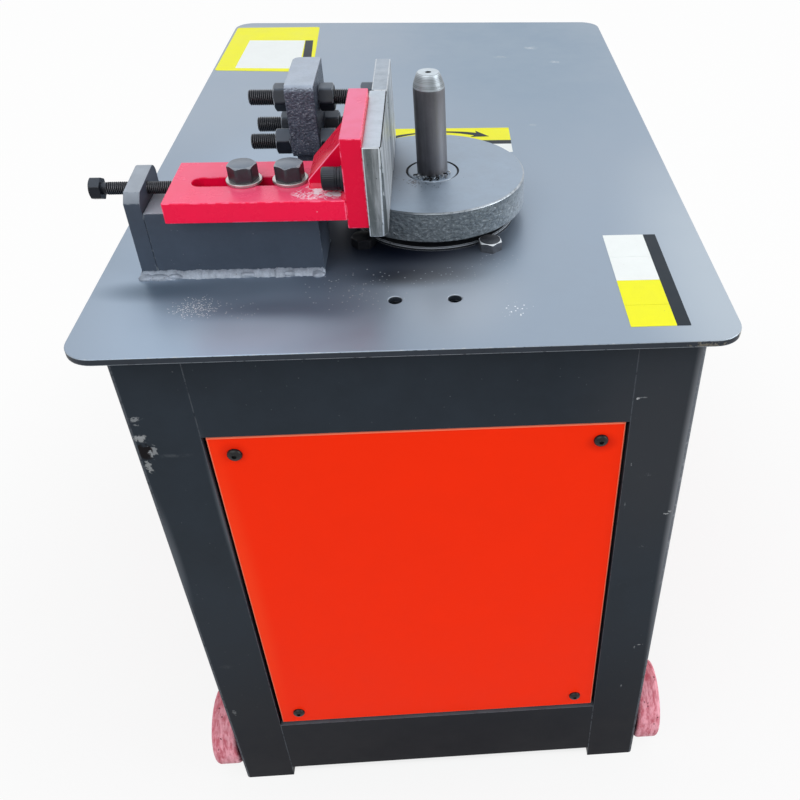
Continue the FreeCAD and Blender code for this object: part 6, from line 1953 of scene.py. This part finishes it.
@dataclass
class Studio:
    """The camera, the lights and the floor."""

    place: Spot = (0.03426, -1.09928, 1.20504)
    right: Spot = (0.99646, -0.08143, 0.02089)
    up: Spot = (0.03535, 0.63131, 0.77472)
    forward: Spot = (0.07627, 0.77124, -0.63196)
    lens: float = 39.88
    shift: float = -0.15186
    sky: float = 0.55
    softbox: float = 0.45
    key: float = 1.75
    side: float = 5.2
    bright: float = 0.97
    shade: float = 0.86
    footprint: Pair = (0.27, 0.44)

    def camera(self) -> None:
        """Sets the camera where the photograph was taken from."""
        data = bpy.data.cameras.new("camera")
        data.lens, data.sensor_width, data.shift_x = self.lens, 36.0, self.shift
        data.clip_start, data.clip_end = 0.05, 100.0
        camera = bpy.data.objects.new("camera", data)
        back = tuple(-c for c in self.forward)
        turn = Matrix((self.right, self.up, back)).transposed().to_4x4()
        camera.matrix_world = Matrix.Translation(self.place) @ turn
        bpy.context.scene.collection.objects.link(camera)
        bpy.context.scene.camera = camera

    def lamp(self, name: str, place: Spot, target: Spot, size: Pair, radiance: float,
             colour: Colour) -> None:
        """A flat softbox that gives every direction the same radiance: power = pi x area x radiance.

        Args:
            name: Its name.
            place: Its middle.
            target: The point that it faces.
            size: Width and height in metres.
            radiance: Its brightness; 1 is as bright as white.
            colour: Its colour.
        """
        data = bpy.data.lights.new(name, "AREA")
        data.shape, data.size, data.size_y = "RECTANGLE", *size
        data.energy = math.pi * size[0] * size[1] * radiance
        data.color = colour
        lamp = bpy.data.objects.new(name, data)
        z = np.array(place, float) - np.array(target, float)
        z /= np.linalg.norm(z)
        x = np.cross((0.0, 0.0, 1.0), z)
        x /= np.linalg.norm(x)
        y = np.cross(z, x)
        turn = Matrix((x.tolist(), y.tolist(), z.tolist())).transposed().to_4x4()
        lamp.matrix_world = Matrix.Translation(place) @ turn
        lamp.visible_camera = False
        bpy.context.scene.collection.objects.link(lamp)

    def seen(self, wires: Wiring) -> Socket:
        """1 for rays that the camera, a reflection or glass sees, 0 for light on a surface."""
        path = wires.add("ShaderNodeLightPath").outputs
        eye = wires.plus(path["Is Camera Ray"], path["Is Glossy Ray"])
        return wires.plus(eye, path["Is Transmission Ray"], clamp=True)

    def world(self) -> None:
        """A pale sky: white where it is seen, weaker where it lights."""
        world = bpy.data.worlds.new("studio_sky")
        world.use_nodes = True
        world.node_tree.nodes.clear()
        wires = Wiring(world.node_tree)
        light = tuple(self.sky * c for c in (0.97, 1.0, 1.03))
        tone = wires.mix(self.seen(wires), light, (1.0, 1.0, 1.0))
        sky = wires.add("ShaderNodeBackground", {"Color": tone, "Strength": 1.0})
        out = wires.add("ShaderNodeOutputWorld")
        wires.feed(out.inputs["Surface"], sky.outputs[0])
        bpy.context.scene.world = world

    def floor(self) -> None:
        """A plain pale floor that looks white far off and keeps the shadow near and under the machine."""
        size = 14.0
        corners = [(-size, -size, 0), (size, -size, 0), (size, size, 0), (-size, size, 0)]
        mesh = bpy.data.meshes.new("floor")
        mesh.from_pydata(corners, [], [(0, 1, 2, 3)])
        floor = bpy.data.objects.new("floor", mesh)
        bpy.context.scene.collection.objects.link(floor)
        made = bpy.data.materials.new("floor")
        made.use_nodes = True
        made.node_tree.nodes.clear()
        wires = Wiring(made.node_tree)
        matt = wires.add("ShaderNodeBsdfDiffuse", {"Color": (0.56, 0.57, 0.58)})
        glow = wires.add("ShaderNodeEmission", {"Color": (1.0, 1.0, 1.0), "Strength": 1.0})
        here = wires.add("ShaderNodeTexCoord").outputs["Object"]
        glowing = wires.spread(wires.length(here), 0.3, 1.2, (self.shade, self.bright))
        place = wires.parts(here)
        across = wires.math("DIVIDE", wires.math("ABSOLUTE", place["X"]), self.footprint[0])
        along = wires.math("DIVIDE", wires.math("ABSOLUTE", place["Y"]), self.footprint[1])
        open_air = wires.spread(wires.math("MAXIMUM", across, along), 0.92, 1.0)
        share = wires.times(wires.times(self.seen(wires), glowing), open_air)
        both = wires.add("ShaderNodeMixShader", {0: share, 1: matt.outputs[0], 2: glow.outputs[0]})
        out = wires.add("ShaderNodeOutputMaterial")
        wires.feed(out.inputs["Surface"], both.outputs[0])
        mesh.materials.append(made)

    def build(self) -> list[str]:
        """Sets up the studio and returns the names of what it holds."""
        self.camera()
        self.world()
        self.floor()
        for lamp in (
            ("rear_softbox", (0.0, 2.8, 3.0), (0.0, 0.0, 0.75), (5.2, 3.0), self.softbox, (0.95, 0.98, 1.0)),
            ("front_key", (-1.4, -2.7, 3.3), (0.0, -0.2, 0.6), (4.2, 3.4), self.key, (1.0, 1.0, 1.0)),
            ("side_softbox", (3.3, -0.9, 1.9), (0.0, -0.2, 0.8), (2.2, 2.2), self.side, (0.97, 0.99, 1.0)),
        ):
            self.lamp(*lamp)
        bpy.context.scene.view_settings.view_transform = "Standard"
        return ["camera", "world", "floor", "lamps"]


def main() -> None:
    """Builds every sub-assembly in turn and reports its pieces."""
    logging.basicConfig(level=logging.INFO, format="%(name)s: %(message)s")
    for part in (Table(), Cabinet(), BendingHead(), JawBracket(), RearJaw(), Drive(), Wheels(), Studio()):
        names = part.build()
        log.info("%s: %d pieces: %s", type(part).__name__, len(names), ", ".join(names))


if __name__ == "__main__":
    main()
